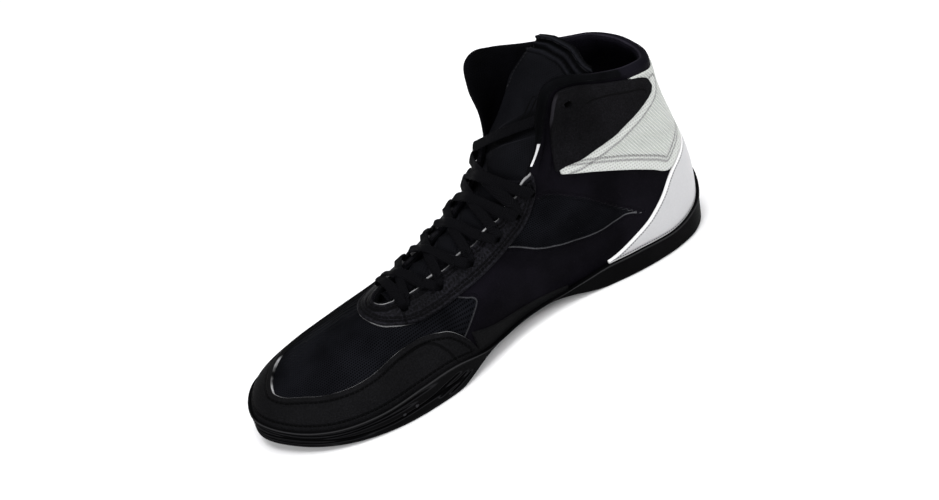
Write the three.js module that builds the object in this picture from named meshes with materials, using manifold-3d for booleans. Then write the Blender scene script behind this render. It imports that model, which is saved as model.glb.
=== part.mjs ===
// A right-foot wrestling shoe, standing unbent on its sole. Millimetres.
// X runs from heel to toe, Y to the inner side of the foot, Z up.
// The origin is on the floor, under the flat spot of the heel.

import * as THREE from 'three';
import { mergeVertices } from 'three/addons/utils/BufferGeometryUtils.js';
import Module from 'manifold-3d';

const wasm = await Module();
wasm.setup();

// Driving sizes of the last and the sole
const LAST_LENGTH = 286;       // feather line, heel to toe
const BALL_HALF = 47;          // half of the ball width
const COLLAR_HALF = 33;        // half of the collar's width at its front
const COLLAR_HEIGHT = 137;     // floor to the collar's front corners
const TOE_SPRING = 6;          // lift of the toe tip
const ARCH_LIFT = 9;           // lift of the sole's underside at the inner waist
const HEEL_THICK = 10;         // sole under the heel
const BALL_THICK = 6.5;        // sole under the ball
const WAIST_THICK = 3.2;       // sole under the waist
const HEEL_SPOT = 34;          // back of the sole to the middle of the heel's flat spot

// Walls, clearances and trim
const GAP = 0.3;               // clearance between two pieces
const WALL = 2.4;              // upper's wall
const COLLAR_PAD = 6;          // padded wall at the collar
const RIM = 2.6;               // wall of the sole's cup
const RIM_BACK = 30;           // height of the cup at the heel's back
const SEAT = 0.72;             // overlay's underside off the curved wall
const OVERLAY = 1.1;           // overlay's thickness
const SECOND = 0.9;            // overlay laid over another one
const INSOLE_THICK = 4;
const TONGUE_THICK = 4;
const TONGUE_RISE = 5;         // tongue above the collar's front
const LUG_GROOVE = 1.3;        // depth of the tread's grooves
const LUG_WIDTH = 2.2;
const LUG_WAVE = 3;            // swing of the wavy tread grooves
const RIM_LIP = 0.4;           // rim's inner edge below its outer one
const FLOOR_DIP = 0.5;         // most that the waist's floor lies below the even floor
const SIDE_GROOVE = 0.8;       // depth of the grooves round the toe
const HOLE = 4.4;              // lace hole
const HOLE_INSET = 7;          // lace hole to the throat's edge
const ANKLE_INSET = 13;        // top lace hole to the collar's edge
const LACE_WIDE = 5.5;
const LACE_THICK = 1.4;

const BACK = -HEEL_SPOT + GAP + RIM;  // feather line's back end

// The last's ribs, from the heel's back to the toe's tip.
// Each rib leaves the feather line at foot (share of LAST_LENGTH) with a half width to the inner
// and the outer side (shares of BALL_HALF), and ends on the top line, which is the collar's and
// the throat's edge, at topX (share of LAST_LENGTH), topY (share of COLLAR_HALF) and topZ (share
// of COLLAR_HEIGHT). lean brings the inner side's top back and takes the outer side's forward
// (share of LAST_LENGTH). low and high are the rib's outward bulges (shares of BALL_HALF).
// round is the exponent of its curve, and slope how much of its height falls evenly.
const RIBS = [
  // foot  inner  outer   topX  topY  topZ   lean   low    high   round slope
  [0.000, 0.000, 0.000, 0.060, 0.00, 0.860, 0.000, 0.100, -0.030, 1.05, 0.00],
  [0.014, 0.280, 0.280, 0.067, 0.40, 0.864, 0.000, 0.100, -0.035, 1.05, 0.00],
  [0.049, 0.490, 0.490, 0.095, 0.76, 0.873, 0.002, 0.095, -0.045, 1.08, 0.00],
  [0.102, 0.600, 0.600, 0.152, 0.92, 0.892, 0.005, 0.080, -0.050, 1.10, 0.00],
  [0.151, 0.635, 0.655, 0.222, 0.99, 0.934, 0.010, 0.070, -0.050, 1.15, 0.00],
  [0.190, 0.640, 0.675, 0.289, 1.03, 0.982, 0.018, 0.060, -0.040, 1.25, 0.00],
  [0.225, 0.630, 0.690, 0.336, 0.99, 0.985, 0.022, 0.060, -0.030, 1.45, 0.00],
  [0.264, 0.604, 0.702, 0.352, 0.90, 0.895, 0.020, 0.060, -0.015, 1.70, 0.00],
  [0.306, 0.575, 0.718, 0.360, 0.79, 0.770, 0.012, 0.065, -0.010, 1.90, 0.00],
  [0.356, 0.553, 0.735, 0.386, 0.67, 0.650, 0.004, 0.070,  0.000, 2.00, 0.00],
  [0.415, 0.560, 0.760, 0.440, 0.54, 0.540, 0.000, 0.065,  0.020, 2.00, 0.06],
  [0.486, 0.630, 0.805, 0.514, 0.44, 0.457, 0.000, 0.055,  0.030, 2.10, 0.15],
  [0.567, 0.785, 0.845, 0.592, 0.36, 0.397, 0.000, 0.040,  0.020, 2.30, 0.28],
  [0.662, 0.949, 0.890, 0.662, 0.28, 0.364, 0.000, 0.030,  0.010, 2.60, 0.40],
  [0.778, 0.987, 0.865, 0.699, 0.18, 0.353, 0.000, 0.030,  0.000, 2.80, 0.48],
  [0.884, 0.840, 0.735, 0.710, 0.10, 0.349, 0.000, 0.030,  0.000, 2.90, 0.53],
  [0.961, 0.530, 0.460, 0.713, 0.04, 0.347, 0.000, 0.030,  0.000, 2.90, 0.55],
  [1.000, 0.120,-0.120, 0.714, 0.00, 0.346, 0.000, 0.030,  0.000, 2.90, 0.56],
];
const LAST_RIB = RIBS.length - 1;
const LOOP = 2 * LAST_RIB;     // ribs all the way round
const THROAT_SHIFT = 4;      // throat's middle towards the inner side

const clamp = (t) => Math.min(1, Math.max(0, t));
const smooth = (t) => clamp(t) ** 2 * (3 - 2 * clamp(t));
const mix = (a, b, t) => a + (b - a) * t;
const vec = (x, y, z) => new THREE.Vector3(x, y, z);
const footX = (share) => BACK + share * LAST_LENGTH;
const footShare = (x) => (x - BACK) / LAST_LENGTH;

// Cubic through the four values nearest to f, which lies between b and c.
function cubic(a, b, c, d, f) {
  return b + 0.5 * f * (c - a + f * (2 * a - 5 * b + 4 * c - d + f * (3 * (b - c) + d - a)));
}

// A table's row at a place of its first column, on a smooth curve through the rows.
function look(table, place) {
  const last = table.length - 1;
  const x = Math.min(table[last][0], Math.max(table[0][0], place));
  let i = 0;
  while (i < last - 1 && table[i + 1][0] < x) i++;
  const [a, b, c, d] = [-1, 0, 1, 2].map((k) => table[Math.min(last, Math.max(0, i + k))]);
  const step = c[0] - b[0];
  const f = (x - b[0]) / step;
  const rate = (p, q, k) => step * (q[k] - p[k]) / (q[0] - p[0]);
  return b.map((value, k) => {
    const [m0, m1] = [rate(a, c, k), rate(b, d, k)];
    const bend = f * (1 - f) * ((1 - f) * (m0 - (c[k] - value)) - f * (m1 - (c[k] - value)));
    return mix(value, c[k], f) + bend;
  });
}

// The rib at u: 0 is the heel's back, LAST_RIB the toe, and the outer side comes after it.
const ROUND = Array.from({ length: LOOP }, (_, i) => {
  const outer = i > LAST_RIB;
  const [foot, inner, out, topX, topY, topZ, lean, low, high, round, slope] =
    RIBS[outer ? LOOP - i : i];
  const side = outer ? -1 : 1;
  const shift = THROAT_SHIFT * smooth((topX - 0.3) / 0.2);
  return [footX(foot), side * BALL_HALF * (outer ? out : inner),
    footX(topX - side * lean), side * COLLAR_HALF * topY + shift, COLLAR_HEIGHT * topZ,
    BALL_HALF * low, BALL_HALF * high, round, slope];
});

function ribAt(u) {
  const i = Math.floor(u);
  const [a, b, c, d] = [-1, 0, 1, 2].map((k) => ROUND[(i + k + 2 * LOOP) % LOOP]);
  return b.map((_, k) => cubic(a[k], b[k], c[k], d[k], u - i));
}

// Sole's underside and the floor of its cup, both as a function of the place along the foot.
const springAt = (s) => TOE_SPRING * Math.max(0, (s - 0.76) / 0.24) ** 2;
const waistAt = (s) => smooth((s - 0.27) / 0.15) * smooth((0.66 - s) / 0.12);
const underZ = (x, across) => springAt(footShare(x))
  + ARCH_LIFT * waistAt(footShare(x)) * mix(0.45, 1, smooth((across + 1) / 2));

function floorZ(x) {
  const s = footShare(x);
  const thick = mix(HEEL_THICK, BALL_THICK, smooth((s - 0.25) / 0.35));
  const waist = underZ(x, 0) + WAIST_THICK;
  return mix(thick + springAt(s), Math.max(waist, thick - FLOOR_DIP), waistAt(s) * 0.8);
}

// Horizontal normal of the feather line at u, pointing out of the foot.
function outward(u) {
  const [a, b] = [ribAt(u - 0.02), ribAt(u + 0.02)];
  return vec(a[1] - b[1], b[0] - a[0], 0).normalize();
}

// The last's surface: v is 0 on the feather line and 1 on the top line.
function lastPoint(u, v) {
  const [x, y, tx, ty, tz, low, high, round, slope] = ribAt(u);
  const angle = v * Math.PI / 2;
  const [c, s] = [Math.max(0, Math.cos(angle)), Math.sin(angle)];
  const r = (c ** round + s ** round) ** (-1 / round);
  const [out, up] = [c * r, s * r];
  const bulge = 6.75 * v * (1 - v) * (low * (1 - v) + high * v);
  const z0 = floorZ(x) + GAP;
  return vec(mix(tx, x, out), mix(ty, y, out), z0 + (tz - z0) * up * (1 - slope * out ** 0.8))
    .addScaledVector(outward(u), bulge);
}

// The last's normal, and a point off its surface by a distance.
function lastNormal(u, v) {
  const e = 0.004;
  const [lo, hi] = [Math.max(0, v - e), Math.min(1, v + e)];
  const along = lastPoint(u + 0.02, v).sub(lastPoint(u - 0.02, v));
  const rise = lastPoint(u, hi).sub(lastPoint(u, lo));
  return rise.cross(along).normalize();
}
const off = (u, v, distance) => lastPoint(u, v).addScaledVector(lastNormal(u, v), distance);

// v of the point at a height, and of the point at a distance below the top line.
function vAtHeight(u, z) {
  let [lo, hi] = [0, 1];
  for (let i = 0; i < 22; i++) {
    const v = (lo + hi) / 2;
    if (lastPoint(u, v).z < z) lo = v;
    else hi = v;
  }
  return (lo + hi) / 2;
}
function vBelowTop(u, distance) {
  const step = 0.02;
  let [v, left, p] = [1, distance, lastPoint(u, 1)];
  while (v > 0.05) {
    const q = lastPoint(u, v - step);
    const run = q.distanceTo(p);
    if (run >= left) return v - step * left / run;
    [v, left, p] = [v - step, left - run, q];
  }
  return v;
}

// A closed body through stations, each a ring of points. The ends are 'joined' to each other,
// 'pinched' flat by their own points, or 'capped' from each point to the one opposite.
function loft(stations, ends = 'capped') {
  const joined = ends === 'joined';
  const [m, n] = [stations.length, stations[0].length];
  const positions = stations.flat().flatMap((p) => [p.x, p.y, p.z]);
  const index = [];
  const quad = (a, b, c, d) => index.push(a, b, c, a, c, d);
  for (let i = 0; i < (joined ? m : m - 1); i++)
    for (let j = 0; j < n; j++) {
      const [i1, j1] = [(i + 1) % m, (j + 1) % n];
      quad(i * n + j, i1 * n + j, i1 * n + j1, i * n + j1);
    }
  if (ends === 'capped')
    for (let j = 0; j < n / 2 - 1; j++) {
      quad(j, j + 1, n - 2 - j, n - 1 - j);
      const e = (m - 1) * n;
      quad(e + n - 1 - j, e + n - 2 - j, e + j + 1, e + j);
    }
  const geometry = new THREE.BufferGeometry();
  geometry.setAttribute('position', new THREE.Float32BufferAttribute(positions, 3));
  geometry.setIndex(index);
  return solid(geometry);
}

// A geometry as a solid, its shared points merged, its empty triangles dropped, facing out.
function solid(geometry) {
  const bare = geometry.clone();
  bare.deleteAttribute('normal');
  bare.deleteAttribute('uv');
  const merged = mergeVertices(bare, 2e-3);
  const faces = [];
  for (let i = 0; i < merged.index.count; i += 3) {
    const [a, b, c] = [0, 1, 2].map((k) => merged.index.getX(i + k));
    if (a !== b && b !== c && a !== c) faces.push([a, b, c]);
  }
  const make = (list) => new wasm.Manifold(new wasm.Mesh({
    numProp: 3,
    vertProperties: merged.attributes.position.array,
    triVerts: new Uint32Array(list.flat()),
  }));
  const body = make(faces);
  return body.volume() > 0 ? body : make(faces.map(([a, b, c]) => [a, c, b]));
}

const range = (from, to, steps) =>
  Array.from({ length: steps + 1 }, (_, i) => mix(from, to, i / steps));

// Upper: one hollow wall from the feather line to the collar and throat, thicker at the collar
const wallAt = (z) => mix(WALL, COLLAR_PAD, smooth((z / COLLAR_HEIGHT - 0.72) / 0.16));

function makeUpper() {
  const [outer, inner] = [range(0, 1, 10), range(1, 0, 6)];
  const stations = range(0, LOOP, 2 * LOOP).slice(0, -1).map((u) => {
    const top = wallAt(lastPoint(u, 1).z);
    const edge = lastPoint(u, 1).add(off(u, 1, -top)).multiplyScalar(0.5);
    const crown = lastPoint(u, 1).sub(lastPoint(u, 0.99)).normalize();
    return [...outer.map((v) => lastPoint(u, v)),
      edge.addScaledVector(crown, top * 0.35),
      ...inner.map((v) => off(u, v, -wallAt(lastPoint(u, v).z)))];
  });
  return loft(stations, 'joined');
}

// Sole's rim: its height above the floor along the foot
const RIM_TOP = [
  // share of LAST_LENGTH, share of RIM_BACK
  [0.000, 1.00], [0.014, 0.80], [0.060, 0.57], [0.200, 0.50], [0.270, 0.48], [0.320, 0.40],
  [0.363, 0.35], [0.455, 0.35], [0.570, 0.38], [0.648, 0.58], [0.725, 0.57], [0.820, 0.47],
  [0.905, 0.46], [0.968, 0.53], [1.000, 0.60],
];
const rimTop = (u) => RIM_BACK * look(RIM_TOP, footShare(ribAt(u)[0]))[1];
const TOE_GROOVES_FROM = 12;   // rib where the grooves of the sole's side begin
const ribOf = (u) => (u > LAST_RIB ? LOOP - u : Math.abs(u));

function makeOutsole() {
  const levels = [
    // share of the rim's height, out from the wall in parts of SIDE_GROOVE
    [0, -1.2], [0.10, 0], [0.36, 0], [0.46, -1], [0.56, 0], [0.92, 0], [1, -0.6],
  ];
  const across = range(-1, 1, 4);
  const wall = (u, side) => {
    const grooves = smooth(ribOf(u) - TOE_GROOVES_FROM);
    const foot = vec(...ribAt(u).slice(0, 2), 0).addScaledVector(outward(u), GAP + RIM);
    const top = off(u, vAtHeight(u, rimTop(u)), GAP + RIM);
    foot.z = underZ(foot.x, side);
    return levels.map(([h, out]) => foot.clone().lerp(top, h)
      .addScaledVector(outward(u), SIDE_GROOVE * (h > 0.2 && h < 0.9 ? out * grooves : out)));
  };
  const inside = (u) => {
    const high = vAtHeight(u, rimTop(u) - RIM_LIP);
    const walls = range(high, 0, 3).map((v) => off(u, v, GAP));
    walls[3].z = floorZ(walls[3].x);
    return walls;
  };
  const stations = range(0, LAST_RIB, 2 * LAST_RIB).map((u) => {
    const [inner, outer] = [wall(u, 1), wall(LOOP - u, -1)];
    const [innerIn, outerIn] = [inside(u), inside(LOOP - u)];
    const under = across.slice(1, -1).map((t) => {
      const p = outer[0].clone().lerp(inner[0], (t + 1) / 2);
      p.z = underZ(p.x, t);
      return p;
    });
    const cup = across.slice(1, -1).reverse().map((t) => {
      const p = outerIn[3].clone().lerp(innerIn[3], (t + 1) / 2);
      p.z = floorZ(p.x);
      return p;
    });
    return [...under, ...inner, ...innerIn, ...cup, ...outerIn.reverse(), ...outer.reverse()];
  });
  let body = loft(stations, 'pinched');
  for (const groove of treadGrooves()) body = body.subtract(groove);
  return body;
}

// Tread: wavy grooves across the heel and the forefoot, each a prism under the sole
const HEEL_TREAD = [0.07, 0.25, 4];   // first and last groove (shares of LAST_LENGTH), steps
const BALL_TREAD = [0.66, 0.92, 7];

function treadGrooves() {
  const places = [...range(...HEEL_TREAD), ...range(...BALL_TREAD)];
  return places.map((share) => {
    const reach = BALL_HALF * 1.3;
    const wave = (y) => LUG_WAVE * Math.cos(y / BALL_HALF * Math.PI * 1.5);
    const ys = range(-reach, reach, 5);
    const shape = new THREE.Shape([
      ...ys.map((y) => new THREE.Vector2(wave(y) - LUG_WIDTH / 2, y)),
      ...ys.reverse().map((y) => new THREE.Vector2(wave(y) + LUG_WIDTH / 2, y)),
    ]);
    const deep = LUG_GROOVE * 4;
    const prism = new THREE.ExtrudeGeometry(shape, { depth: deep, bevelEnabled: false });
    const x = footX(share);
    const tilt = Math.atan2(underZ(x + LUG_WIDTH, -1) - underZ(x - LUG_WIDTH, -1), 2 * LUG_WIDTH);
    prism.rotateY(-tilt);
    prism.translate(x, 0, underZ(x, -1) + LUG_GROOVE - deep);
    return solid(prism);
  });
}

// Insole: lies in the cup, inside the upper's wall
function makeInsole() {
  const inset = WALL + 2 * GAP;
  const across = range(-1, 1, 2);
  const stations = range(0, LAST_RIB, 2 * LAST_RIB).map((u) => {
    const edge = (w) => vec(...ribAt(w).slice(0, 2), 0).addScaledVector(outward(w), -inset);
    const [inner, outer] = [edge(u), edge(LOOP - u)];
    const row = (lift) => across.map((t) => {
      const p = outer.clone().lerp(inner, (t + 1) / 2);
      p.z = floorZ(p.x) + GAP + lift;
      return p;
    });
    return [...row(0), ...row(INSOLE_THICK).reverse()];
  });
  return loft(stations);
}

// Bridge: a surface across the throat at rib u, at a distance off the last's surface.
// t runs from -1 on the outer side to 1 on the inner side; past EDGE it lies along the last, to
// reach below the top line, and between it arches over the throat.
const EDGE = 0.62;
function bridge(u, t, distance, reach, crown = 0.17) {
  const far = Math.abs(t);
  const lie = (w, v) => off(w, v, typeof distance === 'number' ? distance : distance(w, v));
  const side = t > 0 ? u : LOOP - u;
  if (far > EDGE) return lie(side, vBelowTop(side, reach * (far - EDGE) / (1 - EDGE)));
  const [inner, outer] = [lie(u, 1), lie(LOOP - u, 1)];
  const run = lastPoint(u - 0.1, 1).sub(lastPoint(u + 0.1, 1)).setY(0).normalize();
  const lift = crown * inner.distanceTo(outer) * (1 - (t / EDGE) ** 2) ** 1.5;
  return outer.lerp(inner, (t / EDGE + 1) / 2).addScaledVector(vec(run.z, 0, -run.x), lift);
}

// Tongue: bridges the throat, its edges under the upper's wall. Above KNEE it leans back into the
// collar, more on the inner side than on the outer one.
const TONGUE_TOP = 6.2;        // rib where the tongue passes the collar
const TONGUE_REACH = 10;       // tongue's edge under the wall
const TONGUE_CLEAR = 1;        // tongue to the wall over it
const TONGUE_SLANT = 1.3;      // ribs by which the top's inner corner comes down
const TONGUE_LEAN = 0.8;
const TONGUE_TWIST = 0.1;
const KNEE = 0.64 * COLLAR_HEIGHT;
const KNEE_ROUND = 0.06 * COLLAR_HEIGHT;

const TONGUE_OUTER = [
  // rib, t of the tongue's outer edge, which comes in towards the top
  [5.2, -0.30], [6.2, -0.38], [7.2, -0.66], [8.4, -0.90], [9.4, -1],
];

// A point moved as the tongue leans: back above KNEE, and more so on the inner side.
function leaned(p) {
  const above = Math.max(0, p.z - KNEE);
  const twist = TONGUE_TWIST * p.y * clamp(above / (COLLAR_HEIGHT - KNEE));
  return p.add(vec(-TONGUE_LEAN * above ** 2 / (above + KNEE_ROUND) - twist, 0, 0));
}
const underWall = (w, v) => -(wallAt(lastPoint(w, v).z) + TONGUE_CLEAR);

function tonguePoint(rib, t) {
  const u = rib + TONGUE_SLANT * Math.max(0, t) * smooth((TONGUE_TOP + 2 - rib) / 3);
  const rise = Math.max(0, TONGUE_TOP - u) * TONGUE_RISE;
  return leaned(bridge(Math.max(u, TONGUE_TOP), t, underWall, TONGUE_REACH).add(vec(0, 0, rise)));
}

function makeTongue() {
  const places = [...range(LAST_RIB - 3, 6.5, 15), TONGUE_TOP, TONGUE_TOP - 0.5, TONGUE_TOP - 1];
  const stations = places.map((u) => {
    const across = range(look(TONGUE_OUTER, u)[1], 1, 8);
    const face = across.map((t) => tonguePoint(u, t));
    const back = across.map((t, i) => {
      const side = tonguePoint(u, t + 0.02).sub(tonguePoint(u, t - 0.02));
      const up = tonguePoint(u - 0.02, t).sub(tonguePoint(u + 0.02, t));
      return face[i].clone().addScaledVector(side.cross(up).normalize(), -TONGUE_THICK);
    });
    return [...face, ...back.reverse()];
  });
  return loft(stations);
}

// Overlay: a patch of the last's own surface between two edges, as a plate off that surface.
// edges(u) gives the v of its lower and its upper edge.
function overlay(from, to, rows, lift, thick, edges) {
  const [low, high] = [Math.min(from, to), Math.max(from, to)];
  const inner = range(0, 2 * LOOP, 4 * LOOP).map((u) => u - LOOP)
    .filter((u) => u > low + 0.2 && u < high - 0.2);
  const stations = [low, low + 0.15, ...inner, high - 0.15, high].map((u) => {
    const [bottom, top] = edges(u);
    const vs = range(bottom, Math.max(bottom, top), rows);
    return [...vs.map((v) => off(u, v, lift)), ...vs.reverse().map((v) => off(u, v, lift + thick))];
  });
  return loft(stations);
}

// v where rib u crosses an edge, which is drawn from the side as its height along the foot:
// rows of share of LAST_LENGTH and share of COLLAR_HEIGHT.
function vAtEdge(u, table) {
  let [lo, hi] = [0, 1];
  for (let i = 0; i < 22; i++) {
    const v = (lo + hi) / 2;
    const p = lastPoint(u, v);
    if (p.z < COLLAR_HEIGHT * look(table, footShare(p.x))[1]) lo = v;
    else hi = v;
  }
  return (lo + hi) / 2;
}
const onRim = (u) => vAtHeight(u, rimTop(u) + 2 * GAP);
const aboveRim = (top) => (u) => [onRim(u), vAtEdge(u, top)];
const between = (low, top) => (u) => [vAtEdge(u, low), vAtEdge(u, top)];

// Ribs where the overlays end, and their edges
const GUARD_FROM = 12.25;
const SHANK_FROM = 9;
const PANEL_TO = 8;
const STRAP_TO = 7;
const ANKLE_FROM = 2.2;
const ANKLE_TO = 8.3;
const GUARD_TOP = [
  [0.585, 0.11], [0.598, 0.17], [0.614, 0.235], [0.640, 0.262], [0.680, 0.250], [0.725, 0.222],
  [0.820, 0.190], [0.905, 0.188], [0.968, 0.200], [1.000, 0.215],
];
const SHANK_TOP = [
  [0.340, 0.085], [0.426, 0.112], [0.486, 0.130], [0.539, 0.152], [0.592, 0.188],
];
const STRAP_TOP = [
  [0.000, 0.465], [0.014, 0.462], [0.060, 0.425], [0.098, 0.372], [0.130, 0.290], [0.158, 0.232],
  [0.204, 0.172], [0.250, 0.125], [0.300, 0.104],
];
const HEEL_PANEL_LOW = [
  [0.000, 0.477], [0.014, 0.474], [0.060, 0.437], [0.098, 0.394], [0.137, 0.440],
  [0.179, 0.488], [0.256, 0.563], [0.319, 0.608], [0.345, 0.630],
];
const HEEL_PANEL_TOP = [
  [0.000, 0.826], [0.060, 0.830], [0.085, 0.843], [0.120, 0.862], [0.150, 0.872],
  [0.170, 0.866], [0.190, 0.800], [0.230, 0.690], [0.282, 0.665], [0.330, 0.645], [0.345, 0.632],
];
const ANKLE_LOW = [
  [0.090, 0.775], [0.105, 0.760], [0.147, 0.714], [0.179, 0.686], [0.211, 0.665], [0.250, 0.652],
  [0.300, 0.644], [0.325, 0.648], [0.345, 0.670], [0.360, 0.730],
];
const ANKLE_TOP = [
  [0.090, 0.780], [0.105, 0.800], [0.120, 0.828], [0.135, 0.850], [0.160, 0.880],
  [0.200, 0.920], [0.250, 0.968], [0.290, 1.020], [0.320, 1.050], [0.370, 1.050],
];
const EYESTAY = [
  // rib, width below the throat's edge
  [8.9, 5], [9.4, 11], [10.5, 15], [12, 17], [13, 17], [14, 14], [17, 10],
];
const STAY_FROM = EYESTAY[0][0];
const stayEdges = (u) => [vBelowTop(u, look(EYESTAY, ribOf(u))[1]), 1];

// Lace holes: ribs of the six pairs along the throat, and of the pair on the ankle panels
const HOLE_RIBS = [13.3, 12.25, 11.4, 10.6, 9.9, 9.25];
const ANKLE_HOLE_RIB = 5.8;

function drill(u, inset) {
  const v = vBelowTop(u, inset);
  const [depth, out] = [COLLAR_PAD + WALL, 3 * OVERLAY];
  const axis = lastNormal(u, v);
  const pin = new THREE.CylinderGeometry(HOLE / 2, HOLE / 2, depth + out, 6);
  pin.translate(0, (out - depth) / 2, 0);
  pin.applyQuaternion(new THREE.Quaternion().setFromUnitVectors(vec(0, 1, 0), axis));
  const at = lastPoint(u, v);
  pin.translate(at.x, at.y, at.z);
  return solid(pin);
}
const bothSides = (u) => [u, LOOP - u];
const throatPins = HOLE_RIBS.flatMap(bothSides).map((u) => drill(u, HOLE_INSET));
const anklePins = bothSides(ANKLE_HOLE_RIB).map((u) => drill(u, ANKLE_INSET));
const pierce = (body, pins) => pins.reduce((rest, pin) => rest.subtract(pin), body);

// Lace: flat strips from hole to hole across the tongue, joined where they cross and meet, and its
// tail from the top outer hole, which lies on the tongue and ends behind the inner ankle flap
const LACE_PAST = 1.08;        // t of a strip's end, at its hole
const TAIL_TO = [7.5, 0.50];   // rib and t where the tail ends
const TAIL_TURN = 1.7;         // how late the tail turns up the tongue

function makeLace() {
  const high = SEAT + OVERLAY + 5 * GAP + LACE_THICK / 2;
  const onStay = () => high;
  const onTongue = (w, v) => (w > LAST_RIB ? high : underWall(w, v) + 2.4 * LACE_THICK);
  const strip = ([fromU, fromT], [toU, toT], height = onStay, steps = 5, turn = 1) => {
    const over = (u, t) => leaned(bridge(u, t, height, HOLE_INSET, 0.2));
    const place = (f) => [mix(fromU, toU, f ** turn), mix(fromT, toT, f)];
    const stations = range(0, 1, steps).map((f) => {
      const along = over(...place(Math.min(1, f + 0.02))).sub(over(...place(Math.max(0, f - 0.02))));
      const [u, t] = place(f);
      const side = over(u, t + 0.03).sub(over(u, t - 0.03));
      const up = side.cross(over(u - 0.03, t).sub(over(u + 0.03, t))).normalize();
      const wide = up.clone().cross(along.normalize()).normalize().multiplyScalar(LACE_WIDE / 2);
      const thick = up.multiplyScalar(LACE_THICK / 2);
      const at = over(u, t);
      return [[1, 1], [-1, 1], [-1, -1], [1, -1]].map(([w, k]) =>
        at.clone().addScaledVector(wide, w).addScaledVector(thick, k));
    });
    return loft(stations);
  };
  const across = (from, to) => strip([from, -LACE_PAST], [to, LACE_PAST]);
  const strips = [across(HOLE_RIBS[0], HOLE_RIBS[0])];
  for (let i = 1; i < HOLE_RIBS.length; i++) {
    strips.push(across(HOLE_RIBS[i - 1], HOLE_RIBS[i]));
    strips.push(across(HOLE_RIBS[i], HOLE_RIBS[i - 1]));
  }
  strips.push(strip([HOLE_RIBS.at(-1), -LACE_PAST], TAIL_TO, onTongue, 8, TAIL_TURN));
  const joined = strips.reduce((all, one) => all.add(one));
  return joined.decompose().find((body) => body.volume() > 0);
}

const material = (color, roughness, metalness = 0) =>
  new THREE.MeshStandardMaterial({ color, roughness, metalness });

const group = new THREE.Group();
function add(name, body, look3d) {
  const { vertProperties, triVerts } = body.getMesh();
  const geometry = new THREE.BufferGeometry();
  geometry.setAttribute('position', new THREE.BufferAttribute(new Float32Array(vertProperties), 3));
  geometry.setIndex(new THREE.BufferAttribute(new Uint32Array(triVerts), 1));
  geometry.computeVertexNormals();
  const mesh = new THREE.Mesh(geometry, look3d);
  mesh.name = name;
  group.add(mesh);
}

const BLACK_RUBBER = material(0x1b1b1e, 0.75);
const BLACK_MESH = material(0x18181b, 0.9);
const NUBUCK = material(0x2a2a2d, 0.85);
const SMOOTH_WHITE = material(0xd9dadc, 0.5);
const WHITE_MESH = material(0xe4e4e2, 0.85);
const LACE_CLOTH = material(0x101012, 0.9);

add('outsole', makeOutsole(), BLACK_RUBBER);
add('insole', makeInsole(), material(0x202024, 0.95));
add('upper', pierce(makeUpper(), [...throatPins, ...anklePins]), BLACK_MESH);
add('tongue', makeTongue(), BLACK_MESH);
add('toe_guard', overlay(GUARD_FROM, LOOP - GUARD_FROM, 5, SEAT, OVERLAY, aboveRim(GUARD_TOP)), NUBUCK);
add('eyestay', pierce(overlay(STAY_FROM, LOOP - STAY_FROM, 3, SEAT, OVERLAY, stayEdges), throatPins),
  NUBUCK);
add('heel_panel', overlay(-PANEL_TO, PANEL_TO, 4, SEAT, OVERLAY,
  between(HEEL_PANEL_LOW, HEEL_PANEL_TOP)), WHITE_MESH);
add('heel_strap', overlay(-STRAP_TO, STRAP_TO, 3, SEAT, OVERLAY, aboveRim(STRAP_TOP)), SMOOTH_WHITE);
for (const [name, sideOf] of [['inner', (u) => u], ['outer', (u) => LOOP - u]]) {
  const second = SEAT + OVERLAY + 1.5 * GAP;
  add('shank_wrap_' + name, overlay(sideOf(SHANK_FROM), sideOf(GUARD_FROM - 0.05), 2, SEAT, OVERLAY,
    aboveRim(SHANK_TOP)), NUBUCK);
  const panel = overlay(sideOf(ANKLE_FROM), sideOf(ANKLE_TO), 5, second, SECOND,
    between(ANKLE_LOW, ANKLE_TOP));
  add('ankle_panel_' + name, pierce(panel, anklePins), NUBUCK);
}
add('lace', makeLace(), LACE_CLOTH);

export default group;
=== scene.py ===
import math

import bpy
import numpy as np
from mathutils import Matrix


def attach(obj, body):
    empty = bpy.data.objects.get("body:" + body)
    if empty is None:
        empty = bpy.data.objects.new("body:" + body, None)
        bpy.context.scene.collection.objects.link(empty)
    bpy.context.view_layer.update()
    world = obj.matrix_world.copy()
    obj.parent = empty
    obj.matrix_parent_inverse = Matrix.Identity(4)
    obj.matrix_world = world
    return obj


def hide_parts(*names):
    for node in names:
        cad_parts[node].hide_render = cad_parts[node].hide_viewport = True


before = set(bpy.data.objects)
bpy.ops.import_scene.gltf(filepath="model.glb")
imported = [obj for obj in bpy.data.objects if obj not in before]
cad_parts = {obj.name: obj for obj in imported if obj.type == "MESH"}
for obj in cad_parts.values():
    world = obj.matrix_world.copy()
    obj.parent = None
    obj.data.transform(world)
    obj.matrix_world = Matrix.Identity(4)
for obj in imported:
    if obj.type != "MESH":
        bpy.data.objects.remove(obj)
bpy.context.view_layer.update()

# Camera: it stands where the photograph's stood, seen from the shoe, and is turned and zoomed in
# until the one shoe fills the frame. Its roll is that of the tilted shoe in the photograph.
CAMERA_AT = (0.359, 0.631, 0.517)
CAMERA_AZIMUTH = math.radians(158.6)
CAMERA_ELEVATION = math.radians(34.8)
CAMERA_ROLL = math.radians(-15.25)
IMAGE_WIDTH = 939
FOCAL_PIXELS = 1500
SENSOR = 36

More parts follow.
